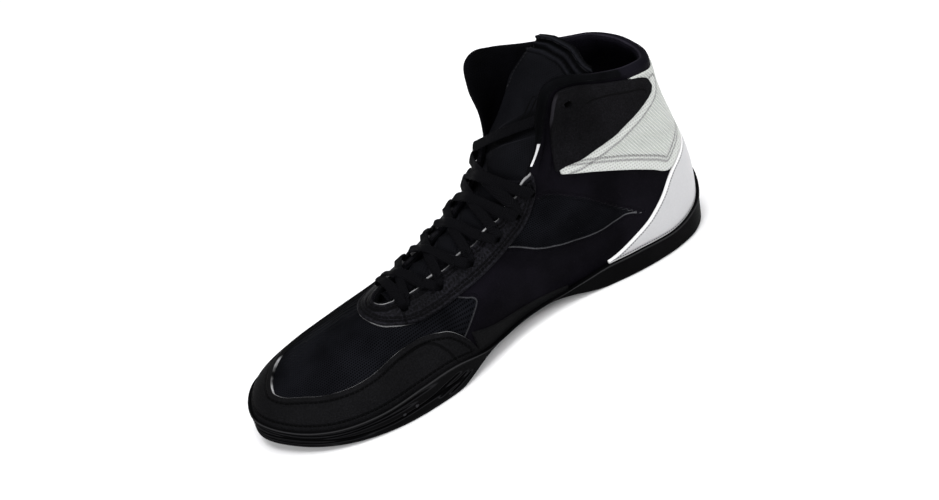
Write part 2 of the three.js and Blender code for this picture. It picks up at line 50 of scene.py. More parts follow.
camera = bpy.data.objects.new("camera", bpy.data.cameras.new("camera"))
camera.data.sensor_width = SENSOR
camera.data.lens = SENSOR * FOCAL_PIXELS / IMAGE_WIDTH
camera.matrix_world = (
    Matrix.Translation(CAMERA_AT)
    @ Matrix.Rotation(CAMERA_AZIMUTH, 4, "Z")
    @ Matrix.Rotation(math.pi / 2 - CAMERA_ELEVATION, 4, "X")
    @ Matrix.Rotation(CAMERA_ROLL, 4, "Z")
)
bpy.context.collection.objects.link(camera)
bpy.context.scene.camera = camera
bpy.context.scene.view_settings.view_transform = "Standard"


# Floor and light: a plain pale floor under a soft overhead light, with a wide fill from the
# camera's side and an even pale sky.
FLOOR_HALF = 4.0
FLOOR_COLOUR = (0.86, 0.86, 0.87)
SKY_STRENGTH = 0.50
LIGHTS = [
    # name, place, size, power
    ("overhead", (0.25, 0.15, 1.5), 1.0, 22),
    ("toe_side", (1.3, 0.9, 0.9), 0.7, 13),
    ("heel_side", (-0.9, 0.7, 0.8), 0.6, 8),
]


def new_node(tree, kind, inputs=(), **settings):
    """A shader node. inputs pairs a socket's name or number with a value or another socket."""
    made = tree.nodes.new("ShaderNode" + kind)
    for key, value in settings.items():
        setattr(made, key, value)
    for key, value in dict(inputs).items():
        if isinstance(value, bpy.types.NodeSocket):
            tree.links.new(value, made.inputs[key])
        else:
            made.inputs[key].default_value = value
    return made


def principled(name, colour, roughness, specular):
    """A material with one Principled shader. Returns the material, its tree and the shader."""
    material = bpy.data.materials.new(name)
    material.use_nodes = True
    tree = material.node_tree
    shader = tree.nodes["Principled BSDF"]
    shader.inputs["Base Color"].default_value = (*colour, 1)
    shader.inputs["Roughness"].default_value = roughness
    shader.inputs["Specular IOR Level"].default_value = specular
    return material, tree, shader


def grid_faces(rows, columns, close_rows=False, close_columns=False):
    """Quads over a grid of points numbered row by row; a closed way joins its last line to its first."""
    r = np.arange(rows if close_rows else rows - 1)[:, None]
    c = np.arange(columns if close_columns else columns - 1)[None, :]
    r1, c1 = (r + 1) % rows, (c + 1) % columns
    quads = [r * columns + c, r1 * columns + c, r1 * columns + c1, r * columns + c1]
    return np.stack([np.broadcast_to(q, (r.size, c.size)) for q in quads], -1).reshape(-1, 4)


def new_piece(name, points, faces, material, fields=None):
    """A smooth mesh object from points and quads, turned so that a closed body faces outwards.
    fields are named numbers, one for each point."""
    points = points.reshape(-1, 3)
    a, b, c, d = (points[faces[:, k]] for k in range(4))
    volume = (a * (np.cross(b, c) + np.cross(c, d))).sum() / 6
    if volume < 0:
        faces = faces[:, ::-1]
    mesh = bpy.data.meshes.new(name)
    mesh.from_pydata(points, [], faces.tolist())
    for key, values in (fields or {}).items():
        made = mesh.attributes.new(key, "FLOAT", "POINT")
        made.data.foreach_set("value", np.asarray(values, np.float32).ravel())
    mesh.shade_smooth()
    mesh.materials.append(material)
    piece = bpy.data.objects.new(name, mesh)
    bpy.context.collection.objects.link(piece)
    return piece


floor_material, _, _ = principled("floor", FLOOR_COLOUR, 0.9, 0.1)
ends = (-FLOOR_HALF, FLOOR_HALF)
corners = np.array([[[x, y, 0] for y in ends] for x in ends])
floor = new_piece("floor", corners, grid_faces(2, 2), floor_material)

world = bpy.data.worlds.new("sky")
world.use_nodes = True
world.node_tree.nodes["Background"].inputs["Color"].default_value = (1, 1, 1, 1)
world.node_tree.nodes["Background"].inputs["Strength"].default_value = SKY_STRENGTH
bpy.context.scene.world = world
for name, place, size, power in LIGHTS:
    light = bpy.data.objects.new(name, bpy.data.lights.new(name, "AREA"))
    light.data.size = size
    light.data.energy = power
    toward = Matrix.Translation(place).to_translation() * -1
    light.matrix_world = Matrix.Translation(place) @ toward.to_track_quat("-Z", "Y").to_matrix().to_4x4()
    bpy.context.collection.objects.link(light)


# Upper: one lasted wall of black knit mesh, with smooth synthetic quarters, a mesh window in
# each quarter and a padded, textile-lined collar with a smooth tab at its back.
LAST_LENGTH = 0.286
BALL_HALF = 0.047
COLLAR_HALF = 0.033
COLLAR_HEIGHT = 0.137
TOE_SPRING = 0.006
ARCH_LIFT = 0.009
HEEL_THICK = 0.010
BALL_THICK = 0.0065
WAIST_THICK = 0.0032
HEEL_SPOT = 0.034
GAP = 0.0003
WALL = 0.0024
COLLAR_PAD = 0.006
RIM = 0.0026
FLOOR_DIP = 0.0005
BACK = -HEEL_SPOT + GAP + RIM
THROAT_SHIFT = 0.004
RIBS = [
    # foot: share of LAST_LENGTH; inner, outer: shares of BALL_HALF; topX, topY, topZ: shares of
    # LAST_LENGTH, COLLAR_HALF and COLLAR_HEIGHT; lean: share of LAST_LENGTH; low, high: bulges as
    # shares of BALL_HALF; round: the curve's exponent; slope: how much of the height falls evenly
    # foot  inner  outer   topX  topY  topZ   lean   low    high   round slope
    (0.000, 0.000, 0.000, 0.060, 0.00, 0.860, 0.000, 0.100, -0.030, 1.05, 0.00),
    (0.014, 0.280, 0.280, 0.067, 0.40, 0.864, 0.000, 0.100, -0.035, 1.05, 0.00),
    (0.049, 0.490, 0.490, 0.095, 0.76, 0.873, 0.002, 0.095, -0.045, 1.08, 0.00),
    (0.102, 0.600, 0.600, 0.152, 0.92, 0.892, 0.005, 0.080, -0.050, 1.10, 0.00),
    (0.151, 0.635, 0.655, 0.222, 0.99, 0.934, 0.010, 0.070, -0.050, 1.15, 0.00),
    (0.190, 0.640, 0.675, 0.289, 1.03, 0.982, 0.018, 0.060, -0.040, 1.25, 0.00),
    (0.225, 0.630, 0.690, 0.336, 0.99, 0.985, 0.022, 0.060, -0.030, 1.45, 0.00),
    (0.264, 0.604, 0.702, 0.352, 0.90, 0.895, 0.020, 0.060, -0.015, 1.70, 0.00),
    (0.306, 0.575, 0.718, 0.360, 0.79, 0.770, 0.012, 0.065, -0.010, 1.90, 0.00),
    (0.356, 0.553, 0.735, 0.386, 0.67, 0.650, 0.004, 0.070, 0.000, 2.00, 0.00),
    (0.415, 0.560, 0.760, 0.440, 0.54, 0.540, 0.000, 0.065, 0.020, 2.00, 0.06),
    (0.486, 0.630, 0.805, 0.514, 0.44, 0.457, 0.000, 0.055, 0.030, 2.10, 0.15),
    (0.567, 0.785, 0.845, 0.592, 0.36, 0.397, 0.000, 0.040, 0.020, 2.30, 0.28),
    (0.662, 0.949, 0.890, 0.662, 0.28, 0.364, 0.000, 0.030, 0.010, 2.60, 0.40),
    (0.778, 0.987, 0.865, 0.699, 0.18, 0.353, 0.000, 0.030, 0.000, 2.80, 0.48),
    (0.884, 0.840, 0.735, 0.710, 0.10, 0.349, 0.000, 0.030, 0.000, 2.90, 0.53),
    (0.961, 0.530, 0.460, 0.713, 0.04, 0.347, 0.000, 0.030, 0.000, 2.90, 0.55),
    (1.000, 0.120, -0.120, 0.714, 0.00, 0.346, 0.000, 0.030, 0.000, 2.90, 0.56),
]
LAST_RIB = len(RIBS) - 1
LOOP = 2 * LAST_RIB


def smooth(t):
    """0 below 0, 1 above 1, and an even S-curve between."""
    t = np.clip(t, 0, 1)
    return t * t * (3 - 2 * t)


def mix(a, b, t):
    """a at t = 0, b at t = 1, and straight between."""
    return a + (b - a) * t


def unit(vectors):
    """The vectors, each divided by its length."""
    return vectors / np.maximum(np.linalg.norm(vectors, axis=-1, keepdims=True), 1e-12)


def rib_rows():
    """The table's rows all round the foot in metres: the inner side from the heel, then the outer."""
    rows = []
    for i in range(LOOP):
        outer = i > LAST_RIB
        row = RIBS[LOOP - i if outer else i]
        foot, inner, out, top_x, top_y, top_z, lean, low, high, curve, slope = row
        side = -1 if outer else 1
        shift = THROAT_SHIFT * smooth((top_x - 0.3) / 0.2)
        rows.append([BACK + foot * LAST_LENGTH, side * BALL_HALF * (out if outer else inner),
                     BACK + (top_x - side * lean) * LAST_LENGTH, side * COLLAR_HALF * top_y + shift,
                     COLLAR_HEIGHT * top_z, BALL_HALF * low, BALL_HALF * high, curve, slope])
    return np.array(rows, float)


ROUND = rib_rows()


def rib_at(u):
    """A rib's values at u, on the cubic through the four table rows nearest to it round the loop."""
    u = np.asarray(u, float)
    i = np.floor(u).astype(int)
    f = (u - i)[..., None]
    a, b, c, d = (ROUND[(i + k) % LOOP] for k in (-1, 0, 1, 2))
    return b + 0.5 * f * (c - a + f * (2 * a - 5 * b + 4 * c - d + f * (3 * (b - c) + d - a)))


def foot_share(x):
    """Place along the foot as a share of LAST_LENGTH, from the feather line's back end."""
    return (x - BACK) / LAST_LENGTH


def waist_at(s):
    """1 at the waist and 0 under heel and ball, on two S-curves."""
    return smooth((s - 0.27) / 0.15) * smooth((0.66 - s) / 0.12)


def spring_at(s):
    """Toe spring: a parabola from behind the toe to the tip."""
    return TOE_SPRING * np.maximum(0, (s - 0.76) / 0.24) ** 2


def under_z(x, across):
    """Height of the sole's underside: toe spring past the ball, and the waist's arch, higher inside."""
    s = foot_share(x)
    return spring_at(s) + ARCH_LIFT * waist_at(s) * mix(0.45, 1, smooth((across + 1) / 2))


def floor_z(x):
    """Height of the cup's floor: the underside plus the sole's thickness, thin at the waist."""
    s = foot_share(x)
    thick = mix(HEEL_THICK, BALL_THICK, smooth((s - 0.25) / 0.35))
    thin = np.maximum(under_z(x, 0) + WAIST_THICK, thick - FLOOR_DIP)
    return mix(thick + spring_at(s), thin, waist_at(s) * 0.8)


def outward(u):
    """Level direction out of the foot at u, square to the feather line."""
    a, b = rib_at(u - 0.02), rib_at(u + 0.02)
    return unit(np.stack([a[..., 1] - b[..., 1], b[..., 0] - a[..., 0], 0 * a[..., 0]], -1))


def last(u, v):
    """The last's surface: v is 0 on the feather line and 1 on the top line. A rib goes from one to
    the other on a superellipse, plus an outward bulge that is a cubic in v."""
    u, v = np.broadcast_arrays(np.asarray(u, float), np.asarray(v, float))
    x, y, top_x, top_y, top_z, low, high, curve, slope = np.moveaxis(rib_at(u), -1, 0)
    c, s = np.maximum(0, np.cos(v * np.pi / 2)), np.sin(np.maximum(v, 0) * np.pi / 2)
    r = (c ** curve + s ** curve) ** (-1 / curve)
    out, up = c * r, s * r
    bulge = 6.75 * v * (1 - v) * (low * (1 - v) + high * v)
    z0 = floor_z(x) + GAP
    z = z0 + (top_z - z0) * up * (1 - slope * out ** 0.8)
    return np.stack([mix(top_x, x, out), mix(top_y, y, out), z], -1) + outward(u) * bulge[..., None]


def last_normal(u, v):
    """The last's outward normal, from small steps along and up the surface."""
    u, v = np.broadcast_arrays(np.asarray(u, float), np.asarray(v, float))
    rise = last(u, np.minimum(1, v + 0.004)) - last(u, np.maximum(0, v - 0.004))
    along = last(u + 0.02, v) - last(u - 0.02, v)
    return unit(np.cross(rise, along))


def off_last(u, v, lift):
    """The last's surface moved along its normal."""
    return last(u, v) + last_normal(u, v) * np.asarray(lift)[..., None]


def below_top(u, distance):
    """v of the place on rib u at that distance below the top line, measured along the rib."""
    u, distance = np.broadcast_arrays(np.asarray(u, float), np.asarray(distance, float))
    v = np.linspace(1, 0.3, 71)
    line = last(u[..., None], v)
    run = np.linalg.norm(np.diff(line, axis=-2), axis=-1).cumsum(-1)
    run = np.concatenate([np.zeros_like(run[..., :1]), run], -1)
    k = np.clip((run < distance[..., None]).sum(-1), 1, len(v) - 1)
    a = np.take_along_axis(run, k[..., None] - 1, -1)[..., 0]
    b = np.take_along_axis(run, k[..., None], -1)[..., 0]
    return v[k - 1] + (v[k] - v[k - 1]) * (distance - a) / (b - a)


def curve_through(table, place):
    """The table's second column at a place of its first, on a smooth curve through its rows."""
    x, y = np.array(table, float).T
    rate = np.gradient(y, x)
    place = np.clip(place, x[0], x[-1])
    i = np.clip(np.searchsorted(x, place) - 1, 0, len(x) - 2)
    step = x[i + 1] - x[i]
    f = (place - x[i]) / step
    straight = y[i] + (y[i + 1] - y[i]) * f
    slope = (y[i + 1] - y[i]) / step
    return straight + step * f * (1 - f) * ((1 - f) * (rate[i] - slope) - f * (rate[i + 1] - slope))


def v_where(u, is_below):
    """v at which a rib passes an edge, by halving: is_below tells if a place is still under it."""
    low, high = np.zeros_like(u, float), np.ones_like(u, float)
    for _ in range(20):
        middle = (low + high) / 2
        below = is_below(last(u, middle))
        low, high = np.where(below, middle, low), np.where(below, high, middle)
    return (low + high) / 2


def side_edge(u, table):
    """v where rib u crosses an edge drawn from the side: share of the length, share of the height."""
    u = np.asarray(u, float)
    return v_where(u, lambda p: p[..., 2] < COLLAR_HEIGHT * curve_through(table, foot_share(p[..., 0])))


FOOT_AXIS = 0.04
NEAR_STEP = 8192


def near_line(points, line):
    """Each point's distance to a line of points, how far along the line its nearest place is, and
    the distance again, below 0 on the line's right as seen from outside the foot."""
    flat = points.reshape(-1, 3)
    step = np.diff(line, axis=0)
    length = np.maximum(np.linalg.norm(step, axis=1), 1e-9)
    run = np.concatenate([[0], length.cumsum()])
    away, along, turn = np.empty((3, len(flat)))
    for start in range(0, len(flat), NEAR_STEP):
        part = slice(start, start + NEAR_STEP)
        p = flat[part].astype(np.float32)
        gap = p @ line.T.astype(np.float32)
        near = ((line ** 2).sum(1).astype(np.float32) - 2 * gap).argmin(1)
        best = np.full(len(p), np.inf)
        for k in (np.maximum(near - 1, 0), np.minimum(near, len(step) - 1)):
            f = np.clip(((p - line[k]) * step[k]).sum(1) / length[k] ** 2, 0, 1)
            d = np.linalg.norm(p - line[k] - step[k] * f[:, None], axis=1)
            better = d < best
            best = np.where(better, d, best)
            along[part] = np.where(better, run[k] + f * length[k], along[part])
            beside = np.cross(step[k], p - line[k]) * (p * (0, 1, 1) - (0, 0, FOOT_AXIS))
            turn[part] = np.where(better, beside.sum(1), turn[part])
        away[part] = best
    return [a.reshape(points.shape[:-1]) for a in (away, along, away * np.sign(turn))]


HOLE_RIBS = [13.3, 12.25, 11.4, 10.6, 9.9, 9.25]
HOLE_INSET = 0.007
HOLE_RADIUS = 0.0021
HOLE_DEPTH = 0.003
HOLE_SLOPE = 0.0006
# Painted shade inside the lace holes and along the tongue slot's furrows.
RECESS_SHADE = (0.001, 0.001, 0.001)
ANKLE_HOLE_RIB = 5.8
ANKLE_INSET = 0.013
hole_ribs = np.array(HOLE_RIBS + [ANKLE_HOLE_RIB])
hole_inset = np.array([HOLE_INSET] * len(HOLE_RIBS) + [ANKLE_INSET])
hole_ribs, hole_inset = np.concatenate([hole_ribs, LOOP - hole_ribs]), np.tile(hole_inset, 2)
HOLES = last(hole_ribs, below_top(hole_ribs, hole_inset))


def to_hole(points):
    """Distance of each point to the middle of the nearest lace hole."""
    return np.linalg.norm(points[..., None, :] - HOLES, axis=-1).min(-1)


def window_seams(flip):
    """The mesh window's upper and lower seam in a quarter, as lines of u and v."""
    upper = [(4.4, 0.165), (4.9, 0.19), (6.1, 0.24), (7.2, 0.33), (8.2, 0.46), (9.0, 0.615),
             (9.4, 0.69)]
    lower = [(4.4, 0.165), (5.0, 0.178), (6.1, 0.165), (7.0, 0.165), (8.2, 0.21), (9.1, 0.28),
             (9.9, 0.42), (10.5, 0.63)]
    lines = []
    for table in (upper, lower):
        u = np.linspace(table[0][0], table[-1][0], 160)
        lines.append(np.stack([LOOP - u if flip else u, curve_through(table, u)], -1))
    return lines


def vamp_seam(flip):
    """The seam between the vamp's mesh and the smooth quarter, from the eyestay to the toe guard."""
    v = np.linspace(0.36, 0.74, 60)
    u = curve_through([(0.36, 12.6), (0.42, 12.25), (0.47, 12.0), (0.52, 11.82), (0.56, 11.82),
                       (0.62, 11.95), (0.70, 12.12), (0.74, 12.2)], v)
    return [np.stack([LOOP - u if flip else u, v], -1)]


WINDOW_RIBS = (4.4, 9.4, 10.5)
TAB_END = 3.3
TAB_EDGE = [
    # rib, v of the tab's lower edge
    (-TAB_END, 1.0), (-2.6, 0.92), (-1.5, 0.90), (0, 0.895), (1.5, 0.90), (2.6, 0.92), (TAB_END, 1.0),
]
CREASES = [
    # rib, v, length along the ribs, width, depth, turn: soft troughs
    (13.9, 0.86, 1.5, 0.050, 0.0007, 0.05),
    (14.6, 0.72, 1.6, 0.045, 0.0006, 0.06),
    (20.3, 0.80, 1.5, 0.050, 0.0008, -0.04),
    (8.4, 0.80, 0.9, 0.055, 0.0011, -0.10),
    (7.7, 0.70, 1.1, 0.050, 0.0008, -0.08),
    (25.6, 0.80, 0.9, 0.055, 0.0011, 0.10),
    (26.4, 0.70, 1.1, 0.050, 0.0008, 0.08),
    (3.2, 0.55, 2.0, 0.060, 0.0009, 0.01),
    (30.8, 0.55, 2.0, 0.060, 0.0009, -0.01),
]


def crease_depth(u, v):
    """Soft troughs and the ridges beside them: a bell along, a wave's first swing across."""
    depth = np.zeros(np.broadcast(u, v).shape)
    for rib, middle, length, width, deep, turn in CREASES:
        a = (u - rib) / length
        b = (v - middle - turn * (u - rib)) / width
        depth -= deep * np.exp(-a ** 2) * np.exp(-b ** 2 / 2) * np.cos(1.3 * b)
    return depth


def skin(u, v, lift):
    """The upper's own creased surface, moved out by a lift."""
    return off_last(u, v, lift + crease_depth(u, v) * smooth(v / 0.15))


def wall_at(z):
    """The wall's thickness: thin below, padded towards the collar."""
    return mix(WALL, COLLAR_PAD, smooth((z / COLLAR_HEIGHT - 0.72) / 0.16))


def upper_shell(stations=680, outer_rows=92, rim_rows=9, inner_rows=26):
    """Rings of points from the feather line up the outside, over a half-round rim and down inside,
    one at each station round the foot, and the fields that its material reads."""
    u = np.linspace(0, LOOP, stations, endpoint=False)[:, None]
    v = np.linspace(0, 1, outer_rows)[None, :]
    bare = last(u, v)
    seams = [s for flip in (False, True) for s in window_seams(flip) + vamp_seam(flip)]
    lines = [last(s[:, 0], s[:, 1]) for s in seams]
    found = [near_line(bare, line) for line in lines]
    seam = np.min([f[0] for f in found], 0)
    nearest = np.argmin([f[0] for f in found], 0)
    along = np.choose(nearest, [f[1] for f in found])
    side = np.minimum(u, LOOP - u)
    upper_v, lower_v = (curve_through(line, side) for line in window_seams(False))
    back, top_end, front = WINDOW_RIBS
    inside = (side > back) & (side < front) & (v > lower_v) & ((v < upper_v) | (side > top_end))
    vamp_u, vamp_v = vamp_seam(False)[0].T
    vamp = side > np.interp(v, vamp_v, vamp_u)
    mesh_part = np.where(inside | vamp, seam, -seam)
    light_seam = np.min([found[k][0] for k in (1, 2, 4, 5)], 0) * np.sign(mesh_part)
    tab_v = curve_through(TAB_EDGE, np.where(u > LAST_RIB, u - LOOP, u))
    tab_line = np.linspace(TAB_EDGE[0][0], TAB_EDGE[-1][0], 140)
    tab_away = near_line(bare, last(tab_line % LOOP, curve_through(TAB_EDGE, tab_line)))[0]
    tab = np.where((side < TAB_END) & (v > tab_v), tab_away, -tab_away)
    lift = -0.0004 * smooth(mesh_part / 0.0012) - 0.0003 * np.exp(-(seam / 0.0006) ** 2)
    lift = lift + 0.0005 * smooth(tab / 0.001)
    hole = to_hole(bare)
    lift = lift - HOLE_DEPTH * smooth((HOLE_RADIUS - hole) / HOLE_SLOPE)
    outer = skin(*np.broadcast_arrays(u, v), lift)
    inner_v = np.linspace(1, 0, inner_rows)[None, :]
    inner_bare = last(u, inner_v)
    inner = off_last(u, inner_v, -wall_at(inner_bare[..., 2]))
    middle = (outer[:, -1] + inner[:, 0]) / 2
    half = (outer[:, -1] - inner[:, 0]) / 2
    crown = unit(last(u[:, 0], 1.0) - last(u[:, 0], 0.985))
    crown = crown * np.linalg.norm(half, axis=-1)[:, None] * 0.9
    turn = np.linspace(0, np.pi, rim_rows + 2)[1:-1][None, :, None]
    rim = middle[:, None] + half[:, None] * np.cos(turn) + crown[:, None] * np.sin(turn)
    points = np.concatenate([outer, rim, inner], 1)
    rest = rim_rows + inner_rows

    def whole(field, fill):
        """A field of the outside, with a fill for the rim and the inside."""
        return np.concatenate([np.broadcast_to(field, outer.shape[:2]),
                               np.broadcast_to(fill, (stations, rest))], 1)

    rim_share = np.linspace(0, 1, rim_rows + 2)[None, 1:-1]
    tab_inside = np.concatenate([np.ones((1, rim_rows)), np.linspace(1, -1, inner_rows)[None]], 1)
    tab_rest = np.where(side < TAB_END, 0.004 * np.minimum(tab_inside, (TAB_END - side) / 0.5), -0.01)
    # cut: a stretch of each flap's rim whose pale cut edge also carries a painted highlight.
    cut = smooth((CUT_RIBS[1] - np.abs(side - CUT_RIBS[0])) / 0.1) * np.ones((1, CUT_ROWS))
    no_cut = np.zeros((stations, outer_rows - 1)), np.zeros((stations, rest + 1 - CUT_ROWS))
    fields = {"along": whole(along, 0), "mesh_part": whole(mesh_part, -0.02),
              "light_seam": whole(light_seam, 0.02), "tab": whole(tab, tab_rest),
              "hole": whole(hole, 0.02), "cut": np.concatenate([no_cut[0], cut, no_cut[1]], 1),
              "lining": np.concatenate([np.zeros((stations, outer_rows)), rim_share + 0 * u,
                                        np.ones((stations, inner_rows))], 1),
              "height": whole(v, 1)}
    return points, fields


def new_group(name, inputs, outputs):
    """A shader node group with named number or vector inputs, and its input and output nodes."""
    group = bpy.data.node_groups.new(name, "ShaderNodeTree")
    for key, value in inputs.items():
        kind = "NodeSocketVector" if value is None else "NodeSocketFloat"
        socket = group.interface.new_socket(key, in_out="INPUT", socket_type=kind)
        if value is not None:
            socket.default_value = value
    for key in outputs:
        group.interface.new_socket(key, in_out="OUTPUT", socket_type="NodeSocketFloat")
    return group, group.nodes.new("NodeGroupInput"), group.nodes.new("NodeGroupOutput")


def maths(tree, operation, *values):
    """The result of a Math node."""
    return new_node(tree, "Math", enumerate(values), operation=operation).outputs[0]


def ramp(tree, value, start, end, low=0.0, high=1.0):
    """A smooth step of a value from start to end, mapped to low and high."""
    return new_node(tree, "MapRange", {"Value": value, "From Min": start, "From Max": end, "To Min": low,
                                       "To Max": high}, interpolation_type="SMOOTHSTEP").outputs["Result"]


def knit_group():
    """Knit mesh: rows of small round openings, each row shifted by half a pitch, in a soft fabric."""
    group, given, result = new_group("knit", {"Vector": None, "Pitch": 0.0012}, ["Height", "Opening"])
    scaled = new_node(group, "VectorMath", {0: given.outputs["Vector"]}, operation="DIVIDE")
    pitch = new_node(group, "CombineXYZ", {k: given.outputs["Pitch"] for k in "XYZ"})
    group.links.new(pitch.outputs[0], scaled.inputs[1])
    place = new_node(group, "SeparateXYZ", {0: scaled.outputs[0]})
    row = maths(group, "FLOOR", place.outputs["Y"])
    shift = maths(group, "MULTIPLY", maths(group, "MODULO", row, 2.0), 0.5)
    x = maths(group, "SUBTRACT", maths(group, "FRACT", maths(group, "ADD", place.outputs["X"], shift)), 0.5)
    y = maths(group, "SUBTRACT", maths(group, "FRACT", place.outputs["Y"]), 0.5)
    away = maths(group, "SQRT", maths(group, "ADD", maths(group, "MULTIPLY", x, x),
                                      maths(group, "MULTIPLY", y, y)))
    opening = ramp(group, away, 0.34, 0.20)
    group.links.new(opening, result.inputs["Opening"])
    group.links.new(maths(group, "SUBTRACT", 1.0, opening), result.inputs["Height"])
    return group


def grain_group():
    """Fine uneven grain: two sizes of noise for the height, and a slow one for the tone."""
    group, given, result = new_group("grain", {"Vector": None, "Scale": 900.0}, ["Height", "Tone"])
    fine = new_node(group, "TexNoise", {"Vector": given.outputs["Vector"], "Scale": given.outputs["Scale"],
                                        "Detail": 3.0, "Roughness": 0.65})
    broad = new_node(group, "TexNoise", {"Vector": given.outputs["Vector"], "Scale": 38.0, "Detail": 4.0})
    group.links.new(fine.outputs[0], result.inputs["Height"])
    group.links.new(broad.outputs[0], result.inputs["Tone"])
    return group


def stitch_group():
    """A row of stitches at an inset from a line: dashes of thread in a shallow furrow."""
    group, given, result = new_group("stitches", {"Away": 0.0, "Along": 0.0, "Inset": 0.002,
                                                  "Pitch": 0.0026}, ["Thread", "Furrow"])
    inward = maths(group, "SUBTRACT", given.outputs["Away"], given.outputs["Inset"])
    across = maths(group, "ABSOLUTE", inward)
    phase = maths(group, "FRACT", maths(group, "DIVIDE", given.outputs["Along"], given.outputs["Pitch"]))
    centred = maths(group, "ABSOLUTE", maths(group, "SUBTRACT", phase, 0.5))
    dash = ramp(group, centred, 0.40, 0.28)
    thread = maths(group, "MULTIPLY", dash, ramp(group, across, 0.00045, 0.00022))
    group.links.new(thread, result.inputs["Thread"])
    group.links.new(ramp(group, across, 0.0010, 0.0003), result.inputs["Furrow"])
    return group


KNIT, GRAIN, STITCHES = knit_group(), grain_group(), stitch_group()


def place_group(tree, group, inputs):
    """One use of a node group in a material."""
    made = tree.nodes.new("ShaderNodeGroup")
    made.node_tree = group
    for key, value in inputs.items():
        if isinstance(value, bpy.types.NodeSocket):
            tree.links.new(value, made.inputs[key])
        else:
            made.inputs[key].default_value = value
    return made.outputs


def field(tree, name):
    """A number stored on the mesh, read by the material."""
    return new_node(tree, "Attribute", attribute_name=name, attribute_type="GEOMETRY").outputs["Fac"]


def object_place(tree):
    """The place on the shoe, in metres."""
    return new_node(tree, "TexCoord").outputs["Object"]


def side_view(tree, part):
    """The place as seen from the side, X and Z, for a pattern on an upright wall."""
    return new_node(tree, "CombineXYZ", {"X": part.outputs["X"], "Y": part.outputs["Z"]}).outputs[0]


def scaled(tree, colour, share):
    """A colour times a number."""
    return new_node(tree, "VectorMath", {0: colour, "Scale": share}, operation="SCALE").outputs[0]


def size_of(tree, name):
    """A stored number without its sign."""
    return maths(tree, "ABSOLUTE", field(tree, name))


def blend_colour(tree, share, low, high):
    """A colour between two, each a colour or a socket."""
    made = new_node(tree, "Mix", data_type="RGBA")
    for socket, value in zip((made.inputs[0], made.inputs[6], made.inputs[7]), (share, low, high)):
        if isinstance(value, bpy.types.NodeSocket):
            tree.links.new(value, socket)
        else:
            socket.default_value = value if socket == made.inputs[0] else (*value, 1)
    return made.outputs[2]


def add_bump(tree, shader, height, distance, strength=1.0):
    """A bump of the given depth on a shader's normal, over any bump it already has."""
    before = shader.inputs["Normal"].links
    made = new_node(tree, "Bump", {"Height": height, "Distance": distance, "Strength": strength})
    if before:
        tree.links.new(before[0].from_socket, made.inputs["Normal"])
    tree.links.new(made.outputs[0], shader.inputs["Normal"])


MESH_BLACK = (0.0014, 0.0015, 0.0019)
THREAD_BLACK = (0.0036, 0.0038, 0.0050)
SMOOTH_BLACK = (0.0025, 0.0022, 0.0034)
LINING_BLACK = (0.0013, 0.0013, 0.0018)
TAB_BLACK = (0.0034, 0.0031, 0.0048)
PIPING_GREY = (0.055, 0.056, 0.060)
CUT_EDGE_AND_HIGHLIGHT = (0.60, 0.60, 0.61)
OPENING_BLACK = (0.0006, 0.0006, 0.0009)
RIM_HIGHLIGHT = (0.011, 0.010, 0.014)
CUT_RIBS = (8.35, 0.42)
CUT_ROWS = 4
KNIT_PITCH = 0.00125
QUARTER_STITCH = {"Inset": 0.0016, "Pitch": 0.0024}
WRINKLE_PITCH = 0.0052
WRINKLE_DEPTH = 0.00045


